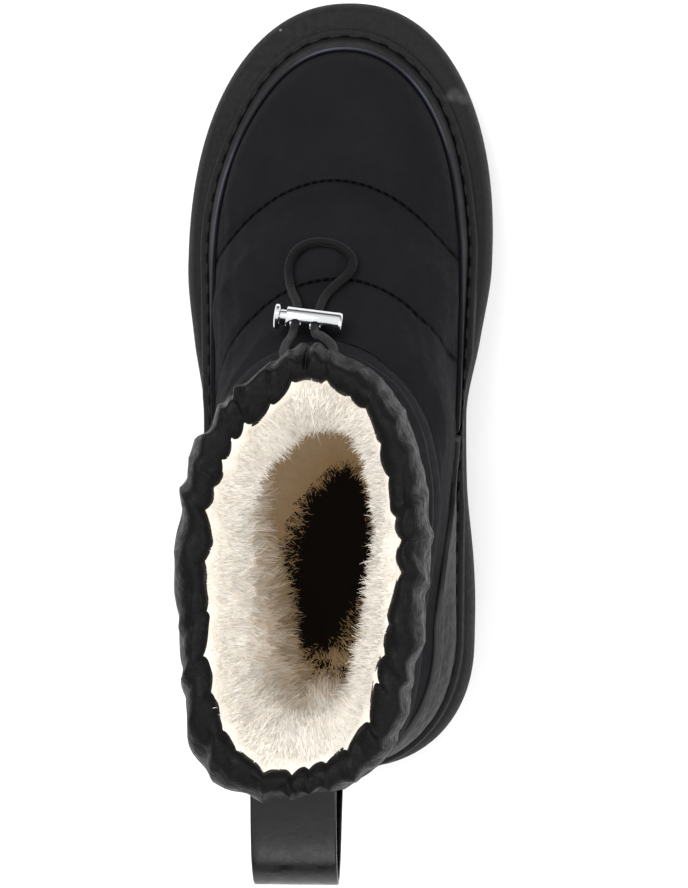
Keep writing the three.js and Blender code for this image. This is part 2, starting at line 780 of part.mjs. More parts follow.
// Points of a side outline between two places along the boot
function sideCurve(from, to, steps, heightOf) {
  const points = [];
  for (let i = 0; i <= steps; i += 1) {
    const y = alongToY(from + ((to - from) * i) / steps);
    points.push([y, heightOf(y)]);
  }
  return points;
}

const overlayFoot = (y) => lipHeight - grooveDepth + gap + topLift(y);
const overlayEnd = 0.1;

function mudguardGeometry() {
  const widening = (y) => mudguardNarrow + (1 - mudguardNarrow) * smoothstep(0.45, 0.85, yToAlong(y));
  const rise = (y) => mudguardRise * widening(y);
  const top = sideCurve(1 + overlayEnd, mudguardBack, 12, (y) => lipHeight + topLift(y) + rise(y));
  const foot = sideCurve(mudguardBack, 1 + overlayEnd, 8, overlayFoot);
  return overlay(mudguardWall, [...top, ...foot]);
}

function counterGeometry() {
  const front = mudguardBack - (2 * gap) / soleLength;
  const crown = lipHeight + counterHeight;
  const fall = (y) => Math.pow(smoothstep(counterFallStart, front, yToAlong(y)), counterFallPower);
  const low = (y) => overlayFoot(y) + counterFrontHeight;
  const top = sideCurve(front, -overlayEnd, 12, (y) => crown + (low(y) - crown) * fall(y));
  const foot = sideCurve(-overlayEnd, front, 6, overlayFoot);
  return overlay(counterWall, [...top, ...foot]);
}

// Drawcord, as a tube of eight sides whose flats lie at the given radius
const cordCurve = new THREE.CatmullRomCurve3(
  cordRoute.map((point) => new THREE.Vector3(...point)),
  false,
  'centripetal',
);
const cordSides = 8;
const cordSteps = 50;

function cordTube(radius) {
  const corner = radius / Math.cos(Math.PI / cordSides);
  const section = new THREE.Shape();
  for (let i = 0; i < cordSides; i += 1) {
    const angle = (2 * Math.PI * (i + 0.5)) / cordSides;
    const x = corner * Math.cos(angle);
    const y = corner * Math.sin(angle);
    if (i === 0) section.moveTo(x, y);
    else section.lineTo(x, y);
  }
  section.closePath();
  const sweep = { steps: cordSteps, extrudePath: cordCurve, bevelEnabled: false };
  return new THREE.ExtrudeGeometry(section, sweep);
}

const cordGeometry = () => cordTube((cordDiameter / 2) * Math.cos(Math.PI / cordSides));

// Collar casing: a gathered ring over the top edge of the shaft
const casingMiddle = { x: casingCentre.across * ballWidth, y: alongToY(casingCentre.along) };

// Angle round the casing's middle, from the front to the lateral side
const turnOf = (x, y) => Math.atan2(casingMiddle.x - x, y - casingMiddle.y);

function edgeRadius(edge, angle) {
  const corners = edge.map(({ across, along }) => {
    const x = across * ballWidth;
    const y = alongToY(along);
    return { turn: turnOf(x, y), radius: Math.hypot(x - casingMiddle.x, y - casingMiddle.y) };
  }).sort((a, b) => a.turn - b.turn);
  const first = corners[0];
  const last = corners[corners.length - 1];
  corners.unshift({ turn: last.turn - 2 * Math.PI, radius: last.radius });
  corners.push({ turn: first.turn + 2 * Math.PI, radius: first.radius });
  return readTable(corners, 'turn', 'radius', angle);
}

// Moves a point along its ray from the casing's middle to a radius worked out from its own
function movedOut(point, radiusFrom) {
  const dx = point.x - casingMiddle.x;
  const dy = point.y - casingMiddle.y;
  const radius = Math.hypot(dx, dy);
  const target = radiusFrom(radius, turnOf(point.x, point.y));
  return new THREE.Vector3(
    casingMiddle.x + (dx * target) / radius,
    casingMiddle.y + (dy * target) / radius,
    point.z,
  );
}

function casingRow(rise, out, gathered) {
  const edge = out > 0 ? casingOuterEdge : casingInnerEdge;
  return rawRow(rise).map((point, i) => movedOut(point, (radius, angle) => {
    return radius + (edgeRadius(edge, angle) - radius) * Math.abs(out) + gathered(i);
  }));
}

function casingGeometry() {
  const pleat = (index, amount) => {
    const turn = index % 2 === 0 ? 1 : -1;
    const uneven = 0.65 + 0.35 * Math.sin(index * 2.4);
    return amount * pleatDepth * turn * uneven;
  };
  const pucker = (index) => (index === 0 ? -puckerDepth : 0);
  const outside = casingOutside.map(({ rise, out }, k) => {
    const share = 0.5 * Math.sin((Math.PI * k) / (casingOutside.length - 1));
    return casingRow(rise, out, (i) => pleat(i, share) + pucker(i) * out);
  });
  const inside = casingInside.map(({ rise, out }, k) => {
    return casingRow(rise, out, (i) => pleat(i, k < 2 ? 0.5 : 0));
  });
  const ring = toSolid(ringOfRows([...outside, ...inside]));
  return toGeometry(ring.subtract(toSolid(cordTube(cordDiameter / 2 + gap))));
}

// Fur lining: a deep hollow pile inside the upper, with locks fused on round the throat
const liningRises = [riseOf(footbedHeight + insoleThickness + 2 * gap), ...insideRises, 0.87, 0.96];
const leastPile = 2.5;
const liningClearance = 4 * gap;

function furDepth(rise, index) {
  const turn = Math.cos((2 * Math.PI * index) / around);
  const at = (column) => readTable(furDepths, 'rise', column, rise);
  const end = turn > 0 ? at('front') : at('back');
  const share = Math.pow(Math.abs(turn), 3);
  const lump = 1 + 0.09 * Math.sin(index * 1.9 + rise * 23);
  return (at('side') * (1 - share) + end * share) * lump;
}

// Row of the lining at a depth behind the upper's wall, drawn in under the casing near the top
function liningRow(rise, depthAt, behindEdge) {
  const drawnIn = smoothstep(casingFoot - 0.04, casingFoot, rise);
  const plain = surfaceRow(rise, (point, i) => -(upperWall + gap + depthAt(i)));
  return plain.map((point) => movedOut(point, (radius, angle) => {
    const edge = edgeRadius(casingInnerEdge, angle) - pleatDepth / 2 - liningClearance - behindEdge;
    return radius + (Math.min(radius, edge) - radius) * drawnIn;
  }));
}

const pileRow = (rise) => liningRow(rise, (i) => furDepth(rise, i), leastPile);

function furLock(index, rise) {
  const column = Math.round((index / furLocks) * around) % around;
  const root = pileRow(rise)[column];
  const inward = normalsRow(rise)[column].clone().negate();
  const tip = inward.add(new THREE.Vector3(0, 0, 0.35)).normalize();
  const cone = new THREE.ConeGeometry(furLockRadius, furLockLength, 3);
  cone.applyQuaternion(new THREE.Quaternion().setFromUnitVectors(new THREE.Vector3(0, 1, 0), tip));
  const centre = root.clone().addScaledVector(tip, -furLockLength * 0.1);
  cone.translate(centre.x, centre.y, centre.z);
  return toSolid(cone);
}

function liningGeometry() {
  const outer = liningRises.map((rise) => liningRow(rise, () => 0, 0));
  const inner = liningRises.map((rise) => pileRow(rise));
  let fur = toSolid(ringOfRows([...outer, ...inner.reverse()]));
  for (let i = 0; i < furLocks; i += 1) fur = fur.add(furLock(i, i % 2 === 0 ? 0.74 : 0.62));
  return toGeometry(fur);
}

// Pull loop: a leather strap bent back on itself behind the shaft
function loopGeometry() {
  const seat = (rise) => {
    const point = outerRow(rise, 2 * gap + loopWall / 2)[around / 2];
    return new THREE.Vector3(0, point.y, point.z);
  };
  const top = seat(0.765);
  const low = seat(0.5);
  const span = top.z - low.z;
  const out = (share, drop) => new THREE.Vector3(0, top.y - loopReach * share, top.z - span * drop);
  const side = new THREE.CatmullRomCurve3([
    seat(0.785),
    seat(0.775),
    top,
    out(0.30, 0.02),
    out(0.75, 0.12),
    out(1, 0.38),
    out(0.84, 0.64),
    out(0.38, 0.86),
    low,
    seat(0.48),
    seat(0.455),
  ], false, 'centripetal');
  const points = side.getPoints(22);
  const edge = (sign) => points.map((point, i) => {
    const ahead = points[Math.min(i + 1, points.length - 1)];
    const behind = points[Math.max(i - 1, 0)];
    const dy = ahead.y - behind.y;
    const dz = ahead.z - behind.z;
    const size = Math.hypot(dy, dz);
    const half = (sign * loopWall) / 2;
    return new THREE.Vector2(point.y - (dz / size) * half, point.z + (dy / size) * half);
  });
  const outline = [...edge(1), ...edge(-1).reverse()];
  const shape = new THREE.Shape(outline);
  const strap = new THREE.ExtrudeGeometry(shape, { depth: loopWidth, bevelEnabled: false });
  const place = new THREE.Matrix4().makeBasis(
    new THREE.Vector3(0, 1, 0),
    new THREE.Vector3(0, 0, 1),
    new THREE.Vector3(1, 0, 0),
  );
  strap.applyMatrix4(place);
  strap.translate(loopCentreX - loopWidth / 2, 0, 0);
  return strap;
}

// Cord lock, along its own X axis: the plunger's head is at the -X end of the barrel
const lockLength = plungerHeadThickness + plungerNeck + barrelLength;
const barrelMouth = -lockLength / 2 + plungerHeadThickness + plungerNeck;
const cordHoles = [barrelMouth + cordHoleFirst, barrelMouth + cordHoleFirst + cordHoleStep];
const cordHoleRadius = cordDiameter / 2 + 1.5 * gap;

function rod(radius, from, to, sides) {
  const shape = new THREE.CylinderGeometry(radius, radius, to - from, sides);
  shape.rotateZ(-Math.PI / 2);
  shape.translate((from + to) / 2, 0, 0);
  return toSolid(shape);
}

// A slot across the lock, along its Z axis, with round ends
function slot(from, to, radius) {
  const shape = new THREE.Shape();
  shape.absarc(to, 0, radius, -Math.PI / 2, Math.PI / 2, false);
  shape.absarc(from, 0, radius, Math.PI / 2, (3 * Math.PI) / 2, false);
  const through = { depth: 4 * barrelDiameter, curveSegments: 3, bevelEnabled: false };
  const cut = new THREE.ExtrudeGeometry(shape, through);
  cut.translate(0, 0, -2 * barrelDiameter);
  return toSolid(cut);
}

function barrelGeometry() {
  const mouth = barrelMouth;
  const end = mouth + barrelLength;
  let barrel = rod(barrelDiameter / 2, mouth, end, 16);
  barrel = barrel.subtract(rod(barrelBore / 2, mouth - 1, end - barrelEnd, 12));
  cordHoles.forEach((x) => {
    barrel = barrel.subtract(slot(x - 0.05, x + 0.05, cordHoleRadius));
  });
  return toGeometry(barrel);
}

function plungerGeometry() {
  const headStart = -lockLength / 2;
  const stemEnd = cordHoles[1] + cordHoleRadius + plungerTip;
  let plunger = rod(plungerHeadDiameter / 2, headStart, headStart + plungerHeadThickness, 16);
  plunger = plunger.add(rod(plungerDiameter / 2, headStart + plungerHeadThickness / 2, stemEnd, 12));
  cordHoles.forEach((x) => {
    plunger = plunger.subtract(slot(x - plungerStroke, x, cordHoleRadius));
  });
  return toGeometry(plunger);
}

// Assembly
const boot = new THREE.Group();

function addPart(name, geometry, color, roughness, metalness = 0) {
  const material = new THREE.MeshStandardMaterial({ color, roughness, metalness });
  const mesh = new THREE.Mesh(geometry, material);
  mesh.name = name;
  boot.add(mesh);
  return mesh;
}

addPart('outsole', outsoleGeometry(), 0x1f1f21, 0.85);
addPart('midsole', midsoleGeometry(), 0x242427, 0.72);
addPart('insole', insoleGeometry(), 0x141413, 0.95);
addPart('upper', upperGeometry(), 0x26262b, 0.62);
addPart('mudguard', mudguardGeometry(), 0x2b2d35, 0.25);
addPart('heel_counter', counterGeometry(), 0x1c1a19, 0.3);
addPart('collar_casing', casingGeometry(), 0x2a2a2f, 0.55);
addPart('fur_lining', liningGeometry(), 0xe8e0d4, 0.95);
addPart('pull_loop', loopGeometry(), 0x191918, 0.35);

addPart('drawcord', cordGeometry(), 0x1b1b1d, 0.7);

const lock = new THREE.Group();
lock.position.set(...lockCentre);
lock.rotation.set(THREE.MathUtils.degToRad(lockTilt), 0, THREE.MathUtils.degToRad(lockTurn), 'ZYX');
boot.add(lock);
lock.add(addPart('cord_lock_barrel', barrelGeometry(), 0xc9cbce, 0.12, 1));
lock.add(addPart('cord_lock_plunger', plungerGeometry(), 0xc9cbce, 0.12, 1));

export default boot;
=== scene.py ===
import math

import bpy
import numpy as np
from mathutils import Matrix, Vector


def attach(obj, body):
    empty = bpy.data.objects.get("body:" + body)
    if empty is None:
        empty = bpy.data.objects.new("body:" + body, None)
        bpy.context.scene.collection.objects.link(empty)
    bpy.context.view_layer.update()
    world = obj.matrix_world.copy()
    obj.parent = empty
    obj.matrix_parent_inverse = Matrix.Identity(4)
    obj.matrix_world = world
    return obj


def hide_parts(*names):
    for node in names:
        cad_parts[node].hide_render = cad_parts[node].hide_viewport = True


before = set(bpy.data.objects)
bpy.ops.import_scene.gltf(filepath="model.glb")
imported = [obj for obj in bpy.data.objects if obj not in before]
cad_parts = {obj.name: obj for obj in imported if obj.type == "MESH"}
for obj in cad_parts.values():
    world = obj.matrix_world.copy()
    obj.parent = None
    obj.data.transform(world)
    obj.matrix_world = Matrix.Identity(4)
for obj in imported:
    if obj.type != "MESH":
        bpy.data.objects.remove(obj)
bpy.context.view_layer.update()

# Sizes of the boot in mm. Widths are shares of WIDTH, and places along it shares of LENGTH
LENGTH = 280.0
WIDTH = 112.0
HEIGHT = 190.0
HEEL = 45.0
SOLE_PLAN = dict(
    along=[0.16, 0.20, 0.30, 0.375, 0.46, 0.56, 0.66, 0.87, 1.00],
    half=[0.402, 0.406, 0.431, 0.429, 0.430, 0.470, 0.500, 0.500, 0.500],
    centre=[0.0, -0.002, -0.038, -0.052, -0.055, -0.050, -0.041, -0.023, -0.008],
)
HEEL_ROUND, TOE_ROUND, SOLE_POWER = 0.17, 0.325, 2.2
SECTIONS = dict(
    rise=[0.01, 0.05, 0.09, 0.14, 0.19, 0.25, 0.315, 0.39, 0.46, 0.54, 0.67, 0.79, 0.98],
    back=[0.020, 0.020, 0.021, 0.022, 0.023, 0.025, 0.0275, 0.030, 0.032, 0.032, 0.032, 0.034, 0.036],
    front=[0.944, 0.934, 0.918, 0.886, 0.838, 0.755, 0.695, 0.628, 0.580, 0.547, 0.528, 0.521, 0.516],
    reach=[0.295, 0.293, 0.290, 0.282, 0.272, 0.257, 0.236, 0.207, 0.186, 0.170, 0.162, 0.164, 0.178],
    heel=[0.324, 0.330, 0.330, 0.326, 0.317, 0.304, 0.290, 0.268, 0.262, 0.264, 0.281, 0.297, 0.302],
    heel_c=[0, 0, 0, -0.003, -0.007, -0.012, -0.016, -0.021, -0.027, -0.036, -0.049, -0.063, -0.078],
    mid=[0.380, 0.379, 0.378, 0.375, 0.371, 0.365, 0.359, 0.346, 0.338, 0.330, 0.326, 0.328, 0.304],
    mid_c=[
        -0.046, -0.045, -0.044, -0.043, -0.041, -0.038, -0.034,
        -0.030, -0.030, -0.036, -0.045, -0.056, -0.065,
    ],
    ball=[0.410, 0.398, 0.384, 0.365, 0.344, 0.332, 0.320, 0.300, 0.290, 0.290, 0.290, 0.290, 0.290],
    ball_c=[
        -0.038, -0.036, -0.035, -0.035, -0.035, -0.036, -0.034,
        -0.030, -0.030, -0.036, -0.045, -0.040, -0.035,
    ],
)
STATIONS = [0.195, 0.375, 0.68]
BACK_REACH, POWER = 0.16, 2.1
TOE_LEAN = 2.5
FUR = dict(
    rise=[0.00, 0.14, 0.25, 0.39, 0.55, 0.72, 0.83, 0.92, 0.97],
    side=[11, 12, 13, 14, 17, 15, 13, 10, 7],
    front=[7, 8, 9, 13, 18, 17, 16, 12, 8],
    back=[9, 11, 13, 14, 15, 15, 13, 10, 7],
)
LIP, FLANGE, FOOTBED = 36.5, 31.0, 24.0
GAP = 0.3
UPPER_WALL, PUFF, SEAM_WIDTH = 2.6, 3.6, 7.0
TOE_SEAM = dict(along=0.755, across=0.406, centre=-3.8, drop=29)
INSTEP_SEAM = dict(along=0.395, reach=0.232, across=0.446, centre=-1.8, back=0.36)
ANKLE_SEAM_RISE, ANKLE_SEAM_CLIMB, CASING_FOOT = 0.44, 14, 0.79
FOLD_LINE = 11.0
HEEL_LIFT, TOE_LIFT, HEEL_BEVEL, ARCH_RISE, TOE_SPRING = 5, 2.5, 2, 3, 9
GROOVE_WIDTH, GROOVE_DEPTH, LIP_WIDTH = 2.0, 3.5, 2.6
OUTSOLE, LUG_DEPTH, LUG_PITCH, LUG_WIDTH, PAD = 9.0, 4.0, 23.0, 15.0, 14.0
CASING_CENTRE = (-0.08 * WIDTH, 0.279 * LENGTH - HEEL)
# corners of the casing's outer and inner edge in plan: across, along
CASING_OUTER = [
    (-0.049, 0.541), (-0.129, 0.525), (-0.217, 0.498), (-0.330, 0.450), (-0.389, 0.400),
    (-0.415, 0.353), (-0.427, 0.293), (-0.416, 0.228), (-0.409, 0.161), (-0.397, 0.118),
    (-0.379, 0.073), (-0.325, 0.043), (-0.271, 0.026), (-0.174, 0.019), (-0.077, 0.027),
    (0.052, 0.034), (0.160, 0.064), (0.210, 0.104), (0.246, 0.171), (0.277, 0.250), (0.281, 0.336),
    (0.263, 0.411), (0.225, 0.456), (0.157, 0.495), (0.089, 0.519), (0.007, 0.527),
]
CASING_INNER = [
    (-0.055, 0.500), (-0.142, 0.465), (-0.222, 0.439), (-0.286, 0.393), (-0.320, 0.314),
    (-0.318, 0.232), (-0.314, 0.164), (-0.293, 0.116), (-0.238, 0.077), (-0.169, 0.056),
    (-0.077, 0.058), (0.031, 0.073), (0.111, 0.108), (0.138, 0.164), (0.174, 0.228),
    (0.205, 0.296), (0.186, 0.350), (0.160, 0.409), (0.128, 0.456), (0.031, 0.487),
]
MUD_WALL, MUD_RISE, MUD_BACK = 1.3, 13.0, 0.44
COUNTER_WALL, COUNTER_HEIGHT, COUNTER_FRONT_HEIGHT, COUNTER_FALL_START = 1.5, 46.0, 12, 0.24
rng = np.random.default_rng(41)


# Curves and sections
def table(keys, values, at):
    """A smooth reading of a table that never overshoots its values."""
    keys, values = np.asarray(keys, float), np.asarray(values, float)
    at = np.clip(np.asarray(at, float), keys[0], keys[-1])
    k = np.clip(np.searchsorted(keys, at, side="right") - 1, 0, len(keys) - 2)
    step = np.diff(keys)
    slope = np.diff(values) / step
    tangent = np.zeros(len(keys))
    tangent[0], tangent[-1] = slope[0], slope[-1]
    for i in range(1, len(keys) - 1):
        a, b = slope[i - 1], slope[i]
        tangent[i] = 0 if a * b <= 0 else 2 * a * b / (a + b)
    t = (at - keys[k]) / step[k]
    h = step[k]
    ease = t * t * (3 - 2 * t)
    bend = t * (1 - t) ** 2 * h * tangent[k] + t * t * (t - 1) * h * tangent[k + 1]
    return values[k] + (values[k + 1] - values[k]) * ease + bend


def smooth(low, high, value):
    t = np.clip((value - low) / (high - low), 0, 1)
    return t * t * (3 - 2 * t)


def bell(distance, width):
    return np.exp(-((distance / width) ** 2))


def blur(values, times):
    """Evens out values round a closed ring."""
    for _ in range(times):
        values = 0.25 * np.roll(values, 1, -1) + 0.5 * values + 0.25 * np.roll(values, -1, -1)
    return values


def along(y):
    return (y + HEEL) / LENGTH


def to_y(share):
    return share * LENGTH - HEEL


def top_lift(y):
    a = along(y)
    return HEEL_LIFT * (1 - smooth(0.22, 0.6, a)) + TOE_LIFT * smooth(0.75, 1, a)


def ground_lift(y):
    a = along(y)
    heel = HEEL_BEVEL * np.clip((0.06 - a) / 0.06, 0, 1) ** 2
    arch = ARCH_RISE * smooth(0.3, 0.4, a) * (1 - smooth(0.46, 0.55, a))
    toe = TOE_SPRING * np.clip((a - 0.74) / 0.26, 0, 1) ** 1.8
    return heel + arch + toe


def rounded_end(distance, reach, power):
    inward = np.clip(1 - distance / reach, 0, 1)
    return np.maximum(0, 1 - inward**power) ** (1 / power)


def outline(front, back, half_at, centre_at, around, crowd=0.3):
    """A closed loop in plan, with its points a little closer together at front and back."""
    y = front + (back - front) * (1 - np.cos(np.pi * np.arange(361) / 360)) / 2
    half = around // 2
    side = np.arange(half + 1) / half
    shares = side - crowd * np.sin(2 * np.pi * side) / (2 * np.pi)
    sides = []
    for sign in (-1, 1):
        w = half_at(y) + sign * centre_at(y)
        s = np.concatenate([[0], np.cumsum(np.hypot(np.diff(w), np.diff(y)))])
        sides.append((np.interp(shares * s[-1], s, w), np.interp(shares * s[-1], s, y)))
    x = np.concatenate([-sides[0][0], sides[1][0][half - 1:0:-1]])
    yy = np.concatenate([sides[0][1], sides[1][1][half - 1:0:-1]])
    return np.stack([x, yy], 1)


def sole_loop(around):
    front, back = LENGTH - HEEL, -HEEL

    def rounded(y):
        toe = rounded_end(front - y, TOE_ROUND * LENGTH, SOLE_POWER)
        return toe * rounded_end(y - back, HEEL_ROUND * LENGTH, SOLE_POWER)

    def half_at(y):
        return table(SOLE_PLAN["along"], SOLE_PLAN["half"], along(y)) * WIDTH * rounded(y)

    def centre(y):
        return table(SOLE_PLAN["along"], SOLE_PLAN["centre"], along(y)) * WIDTH

    def centre_at(y):
        near = np.minimum(1, rounded(y) * 4)
        at_end = np.where(y > (front + back) / 2, centre(front), centre(back))
        return centre(y) * near + at_end * (1 - near)

    return outline(front, back, half_at, centre_at, around)


def section_loop(rise, around):
    """The bare upper's loop at a rise, which is 0 at the lip and 1 at the top."""

    def at(column):
        return float(table(SECTIONS["rise"], SECTIONS[column], rise))

    front, back = to_y(at("front")), to_y(at("back"))
    reach = at("reach") * LENGTH
    half = [at("heel"), at("mid"), at("ball")]
    centre = [at("heel_c"), at("mid_c"), at("ball_c")]
    lean = TOE_LEAN * (1 - smooth(0.2, 0.5, rise))

    def half_at(y):
        toe = rounded_end(front - y, reach, POWER)
        rounded = toe * rounded_end(y - back, BACK_REACH * LENGTH, POWER)
        return table(STATIONS, half, along(y)) * WIDTH * rounded

    def centre_at(y):
        return table(STATIONS, centre, along(y)) * WIDTH + lean * smooth(0.70, 0.90, along(y))

    return outline(front, back, half_at, centre_at, around)


def height_at(rise, y):
    return LIP + rise * (HEIGHT - LIP) + top_lift(y) * (1 - smooth(0.09, 0.4, rise))


def rise_of(height):
    return (height - LIP) / (HEIGHT - LIP)


def unit(v):
    return v / np.maximum(np.linalg.norm(v, axis=-1, keepdims=True), 1e-9)


def outset(loop, distance):
    d = np.roll(loop, -1, 0) - np.roll(loop, 1, 0)
    d = d / np.linalg.norm(d, axis=1, keepdims=True)
    distance = np.broadcast_to(distance, len(loop))[:, None]
    return loop + np.stack([d[:, 1], -d[:, 0]], 1) * distance


class Surface:
    """The bare surface of the upper: a grid of points and outward normals, rows by rise."""

    def __init__(self, rises, around):
        self.rises = np.asarray(rises, float)
        self.around = around
        rows = []
        for rise in self.rises:
            loop = section_loop(max(rise, SECTIONS["rise"][0]), around)
            rows.append(np.column_stack([loop, height_at(rise, loop[:, 1])]))
        self.p = np.array(rows)
        across = np.roll(self.p, -1, 1) - np.roll(self.p, 1, 1)
        up = np.gradient(self.p, axis=0)
        foot = (self.rises <= SECTIONS["rise"][0] + 1e-6)[:, None, None]
        up = np.where(foot, np.array([0.0, 0.0, 1.0]), up)
        self.n = unit(np.cross(across, up))

    def sample(self, field, rise, u):
        """Bilinear reading at rises and shares of the way round."""
        r = np.interp(rise, self.rises, np.arange(len(self.rises)))
        r0 = np.clip(r.astype(int), 0, len(self.rises) - 2)
        fr = (r - r0)[..., None]
        c = (u % 1) * self.around
        c0 = c.astype(int) % self.around
        fc = (c - np.floor(c))[..., None]
        c1 = (c0 + 1) % self.around
        low = field[r0, c0] * (1 - fc) + field[r0, c1] * fc
        high = field[r0 + 1, c0] * (1 - fc) + field[r0 + 1, c1] * fc
        return low * (1 - fr) + high * fr


def seam_distances(x, y, z):
    """Distances in mm from the toe, instep and ankle seams and from the foot of the casing."""
    half = TOE_SEAM["across"] * WIDTH
    share = (x - TOE_SEAM["centre"]) / half
    slope = 2 * TOE_SEAM["drop"] * share / half
    toe = (y - (to_y(TOE_SEAM["along"]) - TOE_SEAM["drop"] * share**2)) / np.hypot(1, slope)
    across = (x - INSTEP_SEAM["centre"]) / (INSTEP_SEAM["across"] * WIDTH)
    ahead = (y - to_y(INSTEP_SEAM["along"])) / (INSTEP_SEAM["reach"] * LENGTH)
    instep = np.where(y > to_y(INSTEP_SEAM["back"]), (np.hypot(across, ahead) - 1) * 0.2 * LENGTH, 60)
    ankle = z - (height_at(ANKLE_SEAM_RISE, y) + ANKLE_SEAM_CLIMB * smooth(0.05, 0.5, along(y)))
    return toe, instep, ankle, z - height_at(CASING_FOOT, y)


def puff(x, y, z, rise):
    """How far the padding swells outward between the seams."""
    seams = np.minimum.reduce([np.abs(d) for d in seam_distances(x, y, z)])
    width = SEAM_WIDTH * (1 + np.abs(x) / (0.5 * WIDTH))
    swell = 1 - bell(seams, width)
    ahead = smooth(0.36, 0.46, along(y))
    above = smooth(0.43, 0.50, rise)
    return PUFF * swell * smooth(0.05, 0.14, rise) * np.maximum(ahead, above) * (1 - smooth(0.78, 0.8, rise))


def waves(p, pitch, seed, count=7):
    """Smooth lumps of about the given pitch in mm, from -1 to 1."""
    r = np.random.default_rng(seed)
    total = 0
    for _ in range(count):
        way = unit(r.normal(size=3)) * (2 * math.pi / pitch) * r.uniform(0.6, 1.5)
        total = total + np.sin(p @ way + r.uniform(0, 6.28))
    return total / count * 1.6


# Meshes
def link(name, data):
    made = bpy.data.objects.new(name, data)
    bpy.context.scene.collection.objects.link(made)
    return made


def mesh(name, points, faces, attributes=None, normals=None):
    """A smooth object from points in mm, with a value or a root normal at each point."""
    data = bpy.data.meshes.new(name)
    points = np.asarray(points, float).reshape(-1, 3) * 0.001
    data.from_pydata(points.tolist(), [], faces if isinstance(faces, list) else faces.tolist())
    data.polygons.foreach_set("use_smooth", [True] * len(data.polygons))
    for key, values in (attributes or {}).items():
        layer = data.attributes.new(key, "FLOAT", "POINT")
        layer.data.foreach_set("value", np.asarray(values, np.float32).reshape(-1))
    if normals is not None:
        layer = data.attributes.new("root_normal", "FLOAT_VECTOR", "POINT")
        layer.data.foreach_set("vector", np.asarray(normals, np.float32).reshape(-1))
    data.update()
    return link(name, data)


def grid_faces(rows, columns, wrap_columns=True, wrap_rows=False, start=0):
    r = np.arange(rows if wrap_rows else rows - 1)
    c = np.arange(columns if wrap_columns else columns - 1)
    r, c = np.meshgrid(r, c, indexing="ij")
    r1, c1 = (r + 1) % rows, (c + 1) % columns
    faces = np.stack([r * columns + c, r * columns + c1, r1 * columns + c1, r1 * columns + c], -1)
    return faces.reshape(-1, 4) + start


def spline_rows(rows, per_span):
    """More rows through the given ones, as a smooth curve."""
    rows = np.asarray(rows, float)
    padded = np.concatenate([[2 * rows[0] - rows[1]], rows, [2 * rows[-1] - rows[-2]]])
    result = []
    for k in range(len(rows) - 1):
        a, b, c, d = padded[k:k + 4]
        for t in np.arange(per_span) / per_span:
            result.append(b + 0.5 * t * (c - a + t * (2 * a - 5 * b + 4 * c - d + t * (3 * (b - c) + d - a))))
    result.append(rows[-1])
    return np.array(result)


